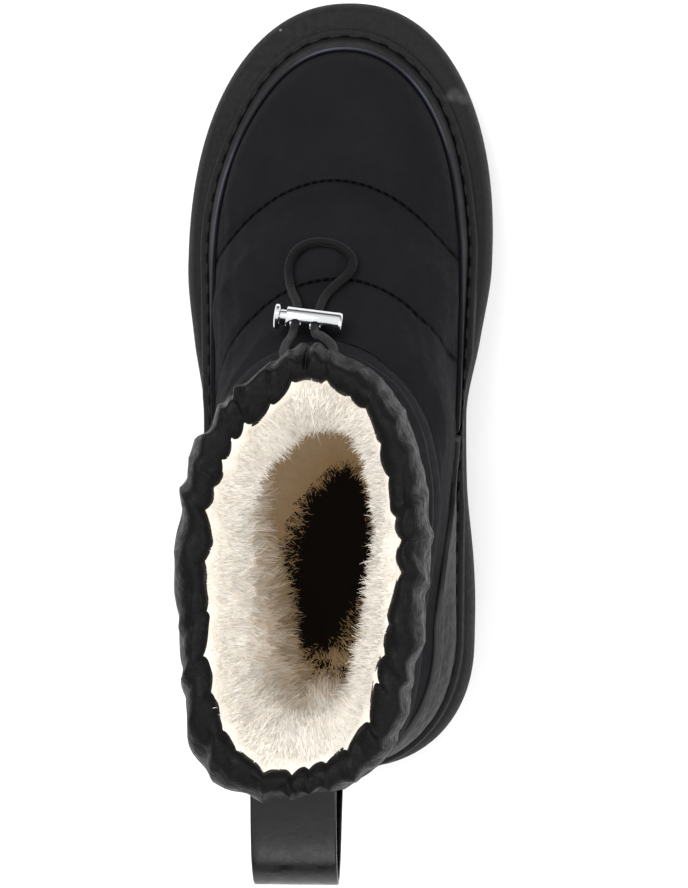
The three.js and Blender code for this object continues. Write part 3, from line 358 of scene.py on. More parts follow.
# Materials
class Shader:
    def __init__(self, name, color, roughness, metallic=0.0, specular=0.5):
        self.material = bpy.data.materials.new(name)
        self.material.use_nodes = True
        self.tree = self.material.node_tree
        self.bsdf = self.tree.nodes["Principled BSDF"]
        self.set("Base Color", (*color, 1))
        self.set("Roughness", roughness)
        self.set("Metallic", metallic)
        self.set("Specular IOR Level", specular)
        self.coords = None
        self.height = None

    def set(self, socket, value):
        self.bsdf.inputs[socket].default_value = value

    def feed(self, target, source):
        if isinstance(source, bpy.types.NodeSocket):
            self.tree.links.new(source, target)
        else:
            target.default_value = source

    def math(self, operation, a, b=0.0):
        node = self.tree.nodes.new("ShaderNodeMath")
        node.operation = operation
        self.feed(node.inputs[0], a)
        self.feed(node.inputs[1], b)
        return node.outputs[0]

    def ramp(self, value, low, high, to_low=0.0, to_high=1.0):
        node = self.tree.nodes.new("ShaderNodeMapRange")
        node.interpolation_type = "SMOOTHSTEP"
        self.feed(node.inputs["Value"], value)
        self.feed(node.inputs["From Min"], low)
        self.feed(node.inputs["From Max"], high)
        self.feed(node.inputs["To Min"], to_low)
        self.feed(node.inputs["To Max"], to_high)
        return node.outputs["Result"]

    def vector(self, operation, *sources):
        node = self.tree.nodes.new("ShaderNodeVectorMath")
        node.operation = operation
        for socket, source in zip(node.inputs, sources):
            self.feed(socket, source)
        return node

    def apart(self, source):
        """The x, y and z of a vector."""
        node = self.tree.nodes.new("ShaderNodeSeparateXYZ")
        self.tree.links.new(source, node.inputs[0])
        return node.outputs

    def place(self):
        if self.coords is None:
            self.coords = self.tree.nodes.new("ShaderNodeTexCoord").outputs["Object"]
        return self.coords

    def noise(self, scale, detail, roughness):
        node = self.tree.nodes.new("ShaderNodeTexNoise")
        node.inputs["Scale"].default_value = scale
        node.inputs["Detail"].default_value = detail
        node.inputs["Roughness"].default_value = roughness
        self.tree.links.new(self.place(), node.inputs["Vector"])
        return node.outputs[0]

    def wave(self, scale, direction):
        node = self.tree.nodes.new("ShaderNodeTexWave")
        node.bands_direction = direction
        node.inputs["Scale"].default_value = scale
        self.tree.links.new(self.place(), node.inputs["Vector"])
        return node.outputs["Fac"]

    def attribute(self, name):
        node = self.tree.nodes.new("ShaderNodeAttribute")
        node.attribute_name = name
        return node.outputs["Fac"]

    def mix(self, factor, a, b):
        node = self.tree.nodes.new("ShaderNodeMix")
        node.data_type = "RGBA"
        self.feed(node.inputs[0], factor)
        self.feed(node.inputs[6], a if isinstance(a, bpy.types.NodeSocket) else (*a, 1))
        self.feed(node.inputs[7], b if isinstance(b, bpy.types.NodeSocket) else (*b, 1))
        return node.outputs[2]

    def color(self, source):
        self.tree.links.new(source, self.bsdf.inputs["Base Color"])

    def roughness(self, source):
        self.tree.links.new(source, self.bsdf.inputs["Roughness"])

    def bump(self, height, distance, strength=1.0):
        node = self.tree.nodes.new("ShaderNodeBump")
        node.inputs["Strength"].default_value = strength
        node.inputs["Distance"].default_value = distance
        self.tree.links.new(height, node.inputs["Height"])
        if self.height is not None:
            self.tree.links.new(self.height, node.inputs["Normal"])
        self.height = node.outputs["Normal"]
        self.tree.links.new(self.height, self.bsdf.inputs["Normal"])

    def spot(self, x, y, radius, strength=1.0):
        """A soft round spot in plan at x, y in mm."""
        across, ahead, _ = self.apart(self.place())
        dx = self.math("SUBTRACT", across, x * 0.001)
        dy = self.math("SUBTRACT", ahead, y * 0.001)
        squares = self.math("ADD", self.math("MULTIPLY", dx, dx), self.math("MULTIPLY", dy, dy))
        far = self.math("SQRT", squares)
        return self.ramp(far, radius * 0.0004, radius * 0.001, strength, 0.0)


def tone(r, g, b):
    return tuple((v / 255.0) ** 2.2 for v in (r, g, b))


def nylon():
    s = Shader("padded_nylon", tone(30, 30, 32), 0.8, specular=0.03)
    lines = None
    for name in ("toe_seam", "instep_seam", "ankle_seam"):
        far = s.math("ABSOLUTE", s.attribute(name))
        line = s.ramp(far, 0.15, 0.75, 1.0, 0.0)
        lines = line if lines is None else s.math("MAXIMUM", lines, line)
    stitch = s.math("SINE", s.math("MULTIPLY", s.attribute("run"), 2 * math.pi / 3.2))
    held = s.ramp(stitch, -0.6, 0.2, 0.62, 1.0)
    dark = s.math("MULTIPLY", lines, held)
    mottled = s.mix(s.noise(60, 4, 0.6), tone(27, 27, 29), tone(34, 34, 36))
    # painted highlight: a light line along a fold 11 mm (FOLD_LINE) below the casing's foot, broken up by
    # noise
    from_fold = s.math("ABSOLUTE", s.math("ADD", s.attribute("casing_seam"), FOLD_LINE))
    fold_highlight = s.ramp(from_fold, 0.15, 0.7, 1.0, 0.0)
    fold_highlight = s.math("MULTIPLY", fold_highlight, s.ramp(s.noise(26, 2, 0.5), 0.4, 0.6, 0.05, 0.45))
    s.color(s.mix(fold_highlight, s.mix(dark, mottled, tone(8, 8, 9)), tone(74, 74, 78)))
    s.roughness(s.ramp(s.noise(300, 3, 0.6), 0.3, 0.7, 0.72, 0.86))
    weave = s.math("ADD", s.wave(571, "X"), s.wave(571, "Y"))
    s.bump(weave, 0.00005, 0.5)
    s.bump(s.noise(900, 3, 0.6), 0.00012, 0.6)
    s.bump(dark, -0.0005, 0.8)
    return s.material


def taffeta():
    s = Shader("casing_nylon", tone(13, 13, 14), 0.5, specular=0.13)
    s.color(s.mix(s.noise(90, 4, 0.6), tone(10, 10, 11), tone(16, 16, 18)))
    s.roughness(s.ramp(s.noise(400, 3, 0.6), 0.3, 0.7, 0.40, 0.62))
    s.bump(s.noise(110, 4, 0.62), 0.0022, 0.55)
    s.bump(s.noise(320, 3, 0.6), 0.0006, 0.5)
    s.bump(s.math("ADD", s.wave(620, "X"), s.wave(620, "Y")), 0.00005, 0.5)
    return s.material


def sole_rubber(name, low, high, rough, specks=()):
    s = Shader(name, low, rough, specular=0.16)
    base = s.mix(s.noise(40, 5, 0.65), low, high)
    for x, y, radius, strength in specks:
        base = s.mix(s.spot(x, y, radius, strength), base, tone(168, 168, 168))
    s.color(base)
    s.roughness(s.ramp(s.noise(500, 3, 0.6), 0.3, 0.7, rough - 0.07, rough + 0.08))
    s.bump(s.noise(1100, 4, 0.7), 0.00018, 0.6)
    return s.material


def leather(name, low, high, rough, lines=(), light=(70, 68, 68), specular=0.34):
    """Dark leather with painted highlights; each highlight line is a distance from the top edge in mm, a
    width and a strength.
    """
    s = Shader(name, low, rough, specular=specular)
    s.set("Coat Weight", 0.06)
    s.set("Coat Roughness", 0.2)
    base = s.mix(s.noise(120, 4, 0.6), low, high)
    # painted highlights: light lines at set distances from the top edge, broken up by noise
    for place, width, strength in lines:
        far = s.math("ABSOLUTE", s.math("SUBTRACT", s.attribute("edge"), place))
        highlight_mask = s.ramp(far, width * 0.2, width, strength, 0.0)
        highlight_mask = s.math("MULTIPLY", highlight_mask, s.ramp(s.noise(30, 3, 0.6), 0.35, 0.6, 0.35, 1.0))
        base = s.mix(highlight_mask, base, tone(*light))
    s.color(base)
    s.roughness(s.ramp(s.noise(260, 4, 0.6), 0.3, 0.7, rough - 0.06, rough + 0.1))
    s.bump(s.noise(700, 4, 0.7), 0.00014, 0.7)
    s.bump(s.noise(45, 3, 0.5), 0.0012, 0.25)
    return s.material


def fur_material(name, light, dark):
    """Pile lit mostly by the direction of its roots, with painted light: an emission that stands in for light
    passing through the pile and lifts the shade between strands.
    """
    s = Shader(name, light, 0.85, specular=0.25)
    s.set("Sheen Weight", 0.4)
    s.set("Sheen Roughness", 0.5)
    s.set("Subsurface Weight", 0.25)
    s.set("Subsurface Radius", (0.006, 0.005, 0.004))
    s.set("Subsurface Scale", 1.0)
    own = s.vector("SCALE", s.tree.nodes.new("ShaderNodeNewGeometry").outputs["Normal"])
    own.inputs["Scale"].default_value = 0.32
    root = s.tree.nodes.new("ShaderNodeAttribute")
    root.attribute_name = "root_normal"
    total = s.vector("ADD", own.outputs["Vector"], root.outputs["Vector"])
    level = s.vector("NORMALIZE", total.outputs["Vector"])
    s.tree.links.new(level.outputs["Vector"], s.bsdf.inputs["Normal"])
    # the depth attribute holds painted shade, which mixes the tan shade colour into the cream
    depth = s.attribute("depth")
    patchy = s.math("MULTIPLY", depth, s.ramp(s.noise(120, 2, 0.5), 0.3, 0.7, 0.88, 1.0))
    base = s.mix(patchy, dark, light)
    s.color(base)
    s.tree.links.new(base, s.bsdf.inputs["Emission Color"])
    # painted light: the pile emits its own colour, 0.26 where the painted shade is deepest falling to 0.06
    # where it is lit, and the strands up to 0.28 more where lit
    strand_painted_glow = s.math("MULTIPLY", s.attribute("strand"), s.ramp(depth, 0.2, 0.9, 0.05, 0.28))
    painted_glow = s.math("ADD", s.ramp(depth, 0.2, 0.9, 0.26, 0.06), strand_painted_glow)
    s.tree.links.new(painted_glow, s.bsdf.inputs["Emission Strength"])
    return s.material


def plain(name, color, rough, grain, depth):
    """A plain finish with a fine grain: its scale, and its depth in m."""
    s = Shader(name, color, rough)
    s.bump(s.noise(grain, 4, 0.65), depth, 0.7)
    return s.material


def finish_piece(obj, material, body="boot", nodes=()):
    obj.data.materials.clear()
    obj.data.materials.append(material)
    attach(obj, body)
    if nodes:
        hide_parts(*nodes)


# Upper
FOOT = rise_of(FOOTBED + GAP)


def dense_rises(low, high, count):
    """Rises set closer where the vamp lies flatter."""
    t = np.linspace(0, 1, 4000)
    rise = low + (high - low) * t
    need = 1 + 2.6 * np.exp(-(((rise - 0.20) / 0.16) ** 2))
    s = np.concatenate([[0], np.cumsum(need[1:])])
    return np.interp(np.linspace(0, s[-1], count), s, rise)


SKIN_N = 420
SKIN = Surface(np.concatenate([[FOOT, -0.02], dense_rises(0.0, 0.815, 142)]), SKIN_N)
x, y, z = SKIN.p[..., 0], SKIN.p[..., 1], SKIN.p[..., 2]
rise_grid = np.broadcast_to(SKIN.rises[:, None], x.shape)
toe_seam, instep_seam, ankle_seam, casing_seam = seam_distances(x, y, z)
swell = puff(x, y, z, rise_grid)

# gathers that run out of the seams, and broad dents of the padding
run = np.where(np.abs(ankle_seam) < 12, np.arctan2(x, y - 40) * 46, x * 1.12)
gather = 0
for seam, reach, phase in (
    (toe_seam, 9, 0.0), (instep_seam, 10, 2.1), (ankle_seam, 8, 4.0), (casing_seam, 9, 1.0),
):
    wander = phase + 1.6 * np.sin(run * 0.13 + phase)
    ripple = np.sin(run * 2 * np.pi / 9.5 + wander) + 0.5 * np.sin(run * 2 * np.pi / 5.3 + 2 * phase)
    fade = np.exp(-np.abs(seam) / reach)
    gather = gather + 0.30 * ripple * fade * (1 - np.exp(-((seam / 2.2) ** 2)))
groove = 0
for seam in (toe_seam, instep_seam, ankle_seam):
    groove = groove + 1.0 * np.exp(-((seam / 1.3) ** 2))
ahead = np.maximum(smooth(0.36, 0.46, along(y)), smooth(0.43, 0.5, rise_grid))
padded_area = smooth(0.05, 0.14, rise_grid) * ahead
dents = 0.45 * waves(SKIN.p, 46, 3) + 0.18 * waves(SKIN.p, 21, 8)

# creases: from x, y to x, y on the vamp, depth, width
CREASES = [
    (-30, 118, -12, 112, 0.9, 3.2), (14, 112, 31, 119, 0.8, 3.0), (-38, 96, -29, 110, 0.8, 3.4),
    (33, 96, 39, 112, 0.7, 3.4), (-24, 141, -6, 138, 0.5, 4.2), (6, 137, 25, 141, 0.5, 4.0),
    (-41, 134, -33, 144, 0.6, 3.0), (30, 143, 39, 135, 0.6, 3.0), (-14, 158, 4, 160, 0.35, 4.5),
    (-32, 165, -22, 175, 0.4, 4.0), (18, 176, 28, 166, 0.4, 4.0), (-8, 186, 8, 188, 0.35, 5.0),
]
folds = 0
for x0, y0, x1, y1, depth, width in CREASES:
    way = np.array([x1 - x0, y1 - y0], float)
    t = np.clip(((x - x0) * way[0] + (y - y0) * way[1]) / (way @ way), 0, 1)
    far = np.hypot(x - x0 - t * way[0], y - y0 - t * way[1])
    folds = folds + depth * np.exp(-((far / width) ** 2)) * np.sin(np.pi * np.clip(t, 0.08, 0.92))
folds = folds * (z > 45) * (y > 90)

offset = swell + padded_area * (gather + dents - folds) - groove * smooth(0.05, 0.12, rise_grid)
offset = np.where(rise_grid > CASING_FOOT, 0, offset)
upper_points = SKIN.p + SKIN.n * offset[..., None]
INSIDE_ROWS = 10
INSIDE = Surface(np.linspace(FOOT, CASING_FOOT, INSIDE_ROWS), SKIN_N)
inside_points = INSIDE.p - INSIDE.n * UPPER_WALL
all_points = np.concatenate([upper_points, inside_points[::-1]])
far_inside = np.full((INSIDE_ROWS, SKIN_N), 50.0)
seams = dict(
    toe_seam=toe_seam, instep_seam=instep_seam, ankle_seam=ankle_seam, casing_seam=casing_seam, run=run,
)
upper = mesh(
    "visual_upper", all_points, grid_faces(len(all_points), SKIN_N, True, True),
    {name: np.concatenate([values, far_inside]) for name, values in seams.items()},
)
finish_piece(upper, nylon(), nodes=["upper"])

# Midsole
AROUND = 400
foot_loop = section_loop(SECTIONS["rise"][0], AROUND)
sole = sole_loop(AROUND)


def sole_row(inset, height_of):
    loop = outset(sole, -inset)
    return np.column_stack([loop, height_of(loop[:, 1])])


def room_outside(points):
    a, b = sole, np.roll(sole, -1, 0)
    ab = b - a
    t = np.clip(((points[:, None] - a) * ab).sum(-1) / (ab**2).sum(-1), 0, 1)
    return np.linalg.norm(points[:, None] - a - t[..., None] * ab, axis=-1).min(1)


lip_share = np.clip((room_outside(foot_loop) - GROOVE_WIDTH - 0.8) / (LIP_WIDTH + 0.4), 0, 1)


def lip_row(out, height):
    narrow = outset(foot_loop, min(out, GROOVE_WIDTH))
    wide = outset(foot_loop, out)
    plan = narrow + (wide - narrow) * lip_share[:, None]
    return np.column_stack([plan, height + top_lift(plan[:, 1])])


def bottom_of(y):
    return ground_lift(y) + OUTSOLE + GAP


def flange_of(y):
    return FLANGE + top_lift(y)


# the side of the midsole from its bottom up to the flange: share of the height, inset
SIDE = [(0.0, 4.2), (0.08, 1.6), (0.30, 0.4), (0.56, 0.0), (0.80, 0.9), (0.95, 2.6)]
# the raised lip and the stitched groove inside it: how far outside the upper, height
LIP_OUT = GROOVE_WIDTH + LIP_WIDTH
GROOVE_FLOOR = LIP - GROOVE_DEPTH
LIP_ROWS = [
    (LIP_OUT + 0.5, FLANGE + 0.9), (LIP_OUT + 0.15, FLANGE + 2.2), (LIP_OUT, LIP - 1.3),
    (GROOVE_WIDTH + LIP_WIDTH * 0.78, LIP - 0.25), (GROOVE_WIDTH + LIP_WIDTH * 0.4, LIP),
    (GROOVE_WIDTH * 0.95, LIP - 0.5), (GROOVE_WIDTH * 0.8, GROOVE_FLOOR + 0.6),
    (GROOVE_WIDTH * 0.5, GROOVE_FLOOR), (0.35, GROOVE_FLOOR - 0.2), (0.35, FOOTBED),
]
keys = [
    sole_row(inset, lambda y, share=share: bottom_of(y) + (flange_of(y) - bottom_of(y)) * share)
    for share, inset in SIDE
]
shoulder = sole_row(3.8, lambda y: flange_of(y) - 0.1)
lip_rows = [lip_row(out, height) for out, height in LIP_ROWS]
keys += [shoulder, shoulder * 0.7 + lip_rows[0] * 0.3, shoulder * 0.2 + lip_rows[0] * 0.8 - [0, 0, 0.2]]
rows = np.concatenate([[sole_row(12, bottom_of)], spline_rows(keys + lip_rows, 3)])
midsole = mesh("visual_midsole", rows, grid_faces(len(rows), AROUND))
# pale scuffs on the flange: x, y, radius, strength
SCUFFS = [
    (-25.6, 224.6, 0.7, 0.3), (38.0, 200.6, 3.4, 0.05), (41.2, 199.0, 2.6, 0.06), (35.6, 199.4, 2.0, 0.05),
]
rubber = sole_rubber("midsole_foam", tone(25, 25, 26), tone(31, 31, 32), 0.66, SCUFFS)
finish_piece(midsole, rubber, nodes=["midsole"])

BED_AROUND = 240
footbed_rings = [outset(section_loop(SECTIONS["rise"][0], BED_AROUND), -inset) for inset in (-0.4, 6, 16, 26)]
bed = np.array([np.column_stack([ring, np.full(BED_AROUND, FOOTBED)]) for ring in footbed_rings])
footbed = mesh("visual_footbed", bed, grid_faces(len(bed), BED_AROUND))
finish_piece(footbed, rubber)

# stitches along the inner edge of the lip: each a short bent rod that sinks in at its ends
STITCH_PITCH = 7.4
STITCH_ROWS = [(-2.3, 0.2, -0.6), (-1.8, 0.55, -0.1), (0, 0.62, 0.0), (1.8, 0.55, -0.1), (2.3, 0.2, -0.6)]
ROD_SIDES = 6
track = lip_row(GROOVE_WIDTH * 1.12, LIP - 0.30)
closed = np.concatenate([track, track[:1]])
run_length = np.concatenate([[0], np.cumsum(np.linalg.norm(np.diff(closed, axis=0), axis=1))])
count = int(run_length[-1] / STITCH_PITCH)
angle = np.arange(ROD_SIDES) / ROD_SIDES * 2 * np.pi
stitch_points, stitch_faces = [], []
for k in range(count):
    middle = (k + 0.5) * run_length[-1] / count
    ends = np.array([
        [np.interp(middle + ahead, run_length, closed[:, i]) for i in range(3)] for ahead, _, _ in STITCH_ROWS
    ])
    way = unit(ends[-1] - ends[0])
    side_way = unit(np.cross(way, [0, 0, 1]))
    rise_way = np.cross(side_way, way)
    circle = np.cos(angle)[:, None] * side_way + np.sin(angle)[:, None] * rise_way
    rods = [point + circle * radius + rise_way * sink for point, (_, radius, sink) in zip(ends, STITCH_ROWS)]
    stitch_faces.append(grid_faces(len(rods), ROD_SIDES, start=k * len(rods) * ROD_SIDES))
    stitch_points.append(np.array(rods))
stitches = mesh("visual_stitches", np.concatenate(stitch_points), np.concatenate(stitch_faces))
thread = plain("stitch_thread", tone(5, 5, 6), 0.8, 2400, 0.0002)
finish_piece(stitches, thread)

# Outsole: a height field of lugs seen from below, and the edge round it
TREAD_ROWS, TREAD_COLUMNS = 210, 81
LUG_INSET, LUG_RIM, CHEVRON = 2.4, 1.2, 10
PAD_SPACE, PAD_GROOVE = 2.4, 4.9
PADS = [(0.0, 0.0), (-0.04 * WIDTH, to_y(0.64))]
SIPE_PITCH, SIPE_DEPTH = 9, 0.5
rows_y = to_y(0.5 - 0.5 * np.cos(np.pi * np.linspace(0.012, 0.988, TREAD_ROWS)))
fine = sole_loop(2400)
lateral, medial = fine[:1201], np.concatenate([fine[1200:], fine[:1]])
left = np.interp(rows_y, lateral[::-1, 1], lateral[::-1, 0])
right = np.interp(rows_y, medial[:, 1], medial[:, 0])
across_share = np.linspace(-1, 1, TREAD_COLUMNS)
centre_x, half_x = (left + right) / 2, (right - left) / 2
scale_y = (LENGTH - 2 * LUG_INSET) / LENGTH
gx = centre_x[:, None] + (half_x - LUG_INSET)[:, None] * across_share
gy = np.broadcast_to(((rows_y - to_y(0.5)) * scale_y + to_y(0.5))[:, None], gx.shape)
bar_phase = np.mod(gy - np.abs(gx) * (CHEVRON / WIDTH) + HEEL + LUG_WIDTH / 2, LUG_PITCH)
bar_edge = LUG_WIDTH / 2 - np.abs(bar_phase - LUG_WIDTH / 2)
for px, py in PADS:
    far = np.hypot(gx - px, gy - py)
    bar_edge = np.where(far < PAD + PAD_SPACE, PAD - far, np.minimum(bar_edge, far - PAD - PAD_GROOVE))
rim = np.minimum((1 - np.abs(across_share))[None, :] * half_x[:, None], 8)
bar_edge = np.minimum(bar_edge, rim - LUG_RIM)
block = smooth(-0.7, 0.7, bar_edge)
sipe = SIPE_DEPTH * np.exp(-((np.mod(gx + 200, SIPE_PITCH) - SIPE_PITCH / 2) / 0.5) ** 2)
sipe = sipe * smooth(1.6, 2.6, bar_edge)
gz = ground_lift(gy) + LUG_DEPTH * (1 - block) + sipe * block
tread_faces = grid_faces(TREAD_ROWS, TREAD_COLUMNS, False)[:, ::-1]
tread = mesh("visual_tread", np.stack([gx, gy, gz], -1), tread_faces)
outsole_rubber = sole_rubber("outsole_rubber", tone(27, 27, 28), tone(34, 34, 35), 0.72)
finish_piece(tread, outsole_rubber, nodes=["outsole"])

# the edge from under the lugs to the top of the outsole: inset, height over the ground line
EDGE_ROWS = [
    (9, LUG_DEPTH + 0.6), (5, LUG_DEPTH), (3.2, LUG_DEPTH + 0.5), (2.5, OUTSOLE * 0.62),
    (2.2, OUTSOLE - 0.3), (2.7, OUTSOLE), (14, OUTSOLE),
]
edge = spline_rows([sole_row(inset, lambda y, up=up: ground_lift(y) + up) for inset, up in EDGE_ROWS], 3)
rim_piece = mesh("visual_outsole_rim", edge, grid_faces(len(edge), AROUND))
finish_piece(rim_piece, outsole_rubber)

# Overlays: mudguard and heel counter
BASE_N = 720
BASE = Surface(np.concatenate([[FOOT], np.linspace(-0.03, 0.52, 150)]), BASE_N)
base_rise = np.broadcast_to(BASE.rises[:, None], BASE.p.shape[:2])
base_puff = puff(BASE.p[..., 0], BASE.p[..., 1], BASE.p[..., 2], base_rise)
BASE_OUT = BASE.p + BASE.n * base_puff[..., None]


def edge_rise(height_of, columns):
    """The rise at which each column reaches a height that depends on y."""
    short = BASE_OUT[:, columns, 2] - height_of(BASE_OUT[:, columns, 1])
    passed = np.argmax(short > 0, axis=0)
    passed = np.clip(passed, 1, len(BASE.rises) - 1)
    index = np.arange(len(columns))
    a, b = short[passed - 1, index], short[passed, index]
    t = np.clip(-a / (b - a), 0, 1)
    return BASE.rises[passed - 1] * (1 - t) + BASE.rises[passed] * t


def overlay(name, columns, foot_height, top_height, wall, profile_rows=26, bead=0.0, lumps=None):
    """A sheet that lies on the upper between two heights, rounded off at its edges."""
    low = edge_rise(foot_height, columns)
    high = np.maximum(edge_rise(top_height, columns), low + 0.004)
    v = np.linspace(0, 1, profile_rows)
    v = v - 0.12 * np.sin(2 * np.pi * v) / 1.0 * 0.9
    u = np.broadcast_to(columns / BASE.around, (profile_rows, len(columns)))
    rise = low[None, :] + (high - low)[None, :] * v[:, None]
    p = BASE.sample(BASE_OUT, rise, u)
    n = BASE.sample(BASE.n, rise, u)
    span = np.linalg.norm(np.gradient(p, axis=0), axis=-1)
    from_foot = np.cumsum(span, 0) - span[0]
    from_top = from_foot[-1][None, :] - from_foot
    across = np.cumsum(np.linalg.norm(np.gradient(p, axis=1), axis=-1), 1)
    ends = 3 * np.minimum(across - across[:, :1], across[:, -1:] - across)
    near = np.minimum(np.minimum(from_top, from_foot + 0.6), ends)
    thick = wall * np.sqrt(np.clip(1 - (1 - np.clip(near / (wall * 0.9), 0, 1)) ** 2, 0, 1))
    thick = thick + bead * np.exp(-(((from_top - 0.8) / 0.55) ** 2))
    if lumps is not None:
        thick = thick + lumps(p)
    points = p + n * (GAP * 0.7 + thick)[..., None]
    pick = [profile_rows - 1, profile_rows // 2, 0]
    back = (p + n * (GAP * 0.3))[pick]
    both = np.concatenate([points, back])
    faces = grid_faces(profile_rows + len(pick), len(columns), False, True)
    return mesh(name, both, faces, {"edge": np.concatenate([from_top, from_top[pick]])})


def groove_foot(y):
    return LIP - GROOVE_DEPTH + GAP + top_lift(y)


def mud_top(y):
    return LIP + top_lift(y) + MUD_RISE * (0.5 + 0.5 * smooth(0.45, 0.85, along(y)))


foot_y = section_loop(SECTIONS["rise"][0], BASE_N)[:, 1]
ahead = np.flatnonzero(foot_y > to_y(MUD_BACK) - 0.5)
ahead = np.concatenate([ahead[ahead > BASE_N // 2], ahead[ahead <= BASE_N // 2]])
mudguard = overlay("visual_mudguard", ahead, groove_foot, mud_top, MUD_WALL, bead=0.12)
glossy = Shader("rand_rubber", tone(16, 16, 19), 0.42, specular=0.06)
# painted highlight: a thin light line 0.7 mm below the mudguard's top edge, broken up by noise and fading out
# from the toe towards the heel
from_highlight = glossy.math("ABSOLUTE", glossy.math("SUBTRACT", glossy.attribute("edge"), 0.7))
line = glossy.ramp(from_highlight, 0.1, 0.6, 0.9, 0.0)
line = glossy.math("MULTIPLY", line, glossy.ramp(glossy.noise(16, 2, 0.5), 0.4, 0.62, 0.15, 1.0))
toward_toe = glossy.ramp(glossy.apart(glossy.place())[1], 0.10, 0.19, 0.05, 1.0)
line = glossy.math("MULTIPLY", line, toward_toe)
glossy.color(glossy.mix(line, tone(14, 14, 17), tone(84, 86, 100)))
glossy.roughness(glossy.ramp(glossy.noise(160, 4, 0.6), 0.3, 0.7, 0.34, 0.5))
glossy.bump(glossy.noise(70, 4, 0.6), 0.0010, 0.35)
finish_piece(mudguard, glossy.material, nodes=["mudguard"])

counter_front = MUD_BACK - 2 * GAP / LENGTH


def counter_top(y):
    crown, low = LIP + COUNTER_HEIGHT, groove_foot(y) + COUNTER_FRONT_HEIGHT
    return crown + (low - crown) * smooth(COUNTER_FALL_START, counter_front, along(y)) ** 1.4


behind = np.flatnonzero(foot_y <= to_y(counter_front))
counter = overlay(
    "visual_heel_counter", behind, groove_foot, counter_top, COUNTER_WALL, 44, bead=0.1,
    lumps=lambda p: 0.25 * waves(p, 34, 15) + 0.08 * waves(p, 12, 16),
)
# painted highlight streaks of the counter: distance from its top edge, width, strength
COUNTER_HIGHLIGHTS = [(0.5, 0.7, 0.8), (7.5, 1.6, 0.4), (30.0, 12.0, 0.2)]
counter_leather = leather(
    "leather_counter", tone(12, 12, 12), tone(17, 16, 16), 0.5, COUNTER_HIGHLIGHTS, specular=0.05,
)
finish_piece(counter, counter_leather, nodes=["heel_counter"])

# Collar casing
def turn_of(x, y):
    return np.arctan2(CASING_CENTRE[0] - x, y - CASING_CENTRE[1])


def edge_table(corners):
    """Radius of an edge of the casing at 720 angles, with its corners rounded."""
    px = np.array([c[0] * WIDTH for c in corners])
    py = np.array([c[1] * LENGTH - HEEL for c in corners])
    turn, radius = turn_of(px, py), np.hypot(px - CASING_CENTRE[0], py - CASING_CENTRE[1])
    order = np.argsort(turn)
    grid = np.linspace(-np.pi, np.pi, 721)[:-1]
    values = np.interp(grid, turn[order], radius[order], period=2 * np.pi)
    return grid, blur(values, 9)


OUTER_EDGE, INNER_EDGE = edge_table(CASING_OUTER), edge_table(CASING_INNER)


def edge_radius(edge, turn):
    return np.interp(turn, edge[0], edge[1], period=2 * np.pi)


def polar(points):
    dx, dy = points[..., 0] - CASING_CENTRE[0], points[..., 1] - CASING_CENTRE[1]
    return np.hypot(dx, dy), turn_of(points[..., 0], points[..., 1])


def at_radius(points, radius):
    share = np.asarray(radius / polar(points)[0])
    moved = points.copy()
    for axis in (0, 1):
        moved[..., axis] = CASING_CENTRE[axis] + (points[..., axis] - CASING_CENTRE[axis]) * share
    return moved


CAS_N = 620
GIRTH = 372.0
TOP_SHARE = 0.62
CASING_LOWEST, CASING_HIGHEST = 155.0, HEIGHT + 2.5
# rows of the casing: rise, and share of the way out to its outer edge, or in to its inner edge if under 0
CASING_ROWS = [
    (0.796, 0.0), (0.792, 0.70), (0.812, 0.90), (0.835, 0.97), (0.87, 1.0), (0.90, 1.0), (0.93, 0.93),
    (0.955, 0.80), (0.978, 0.56), (0.992, 0.30), (1.0, -0.10), (0.997, -0.45), (0.985, -0.80),
    (0.965, -0.97), (0.94, -1.0), (0.87, -0.92), (0.796, -0.72),
]
TOP = Surface(np.linspace(0.74, 1.06, 60), CAS_N)
where = np.arange(CAS_N) / CAS_N
profile = spline_rows(CASING_ROWS, 3)
share = np.linspace(0, 1, len(profile))[:, None]


def from_place(place):
    """Distance in mm round the casing from a place on its girth."""
    return (where * GIRTH - place + GIRTH / 2) % GIRTH - GIRTH / 2


def lumps_round(height, pitch, seed, count=7):
    """Lumps on the casing, seen as a round tube of this height."""
    ring = np.stack([np.cos(where * 2 * np.pi), np.sin(where * 2 * np.pi)], -1) * GIRTH / 6.283
    rows = [np.column_stack([ring, np.full(CAS_N, row * height)]) for row in share[:, 0]]
    return np.array([waves(row, pitch, seed, count) for row in rows])


# gathers: a sharp ridge with a trough on each side, that leans and bows its own way
gather = np.zeros((len(profile), CAS_N))
teeth = np.zeros(CAS_N)
place = 7.0
while place < GIRTH - 8:
    strength = rng.uniform(0.45, 1.0)
    width = rng.uniform(1.3, 3.2)
    skew = rng.uniform(-11, 11)
    lean = rng.uniform(0.55, 1.8)
    start, stop = rng.uniform(0.05, 0.35), rng.uniform(0.68, 0.85)
    bow = rng.uniform(-3.0, 3.0)
    far = from_place(place + skew * (share - TOP_SHARE) + bow * np.sin(np.pi * share * 2))
    far = np.where(far > 0, far / lean, far * lean)
    length = smooth(start - 0.12, start + 0.12, share) * (1 - smooth(stop - 0.08, stop + 0.08, share))
    ridge = np.exp(-np.abs(far) / width) - 0.75 * bell(far - 2.2 * width, 1.1 * width)
    ridge = ridge - 0.35 * bell(far + 2.4 * width, 1.2 * width)
    gather += strength * ridge * length
    teeth += strength * np.exp(-np.abs(from_place(place)) / 2.1)
    place += rng.uniform(7.5, 16.5)
crumple, bulge = lumps_round(34, 11, 21, 9), lumps_round(14, 34, 23)
rise_here = np.broadcast_to(profile[:, :1], gather.shape)
p = TOP.sample(TOP.p, rise_here, np.broadcast_to(where, gather.shape))
radius, turn = polar(p)
out = profile[:, 1:2]
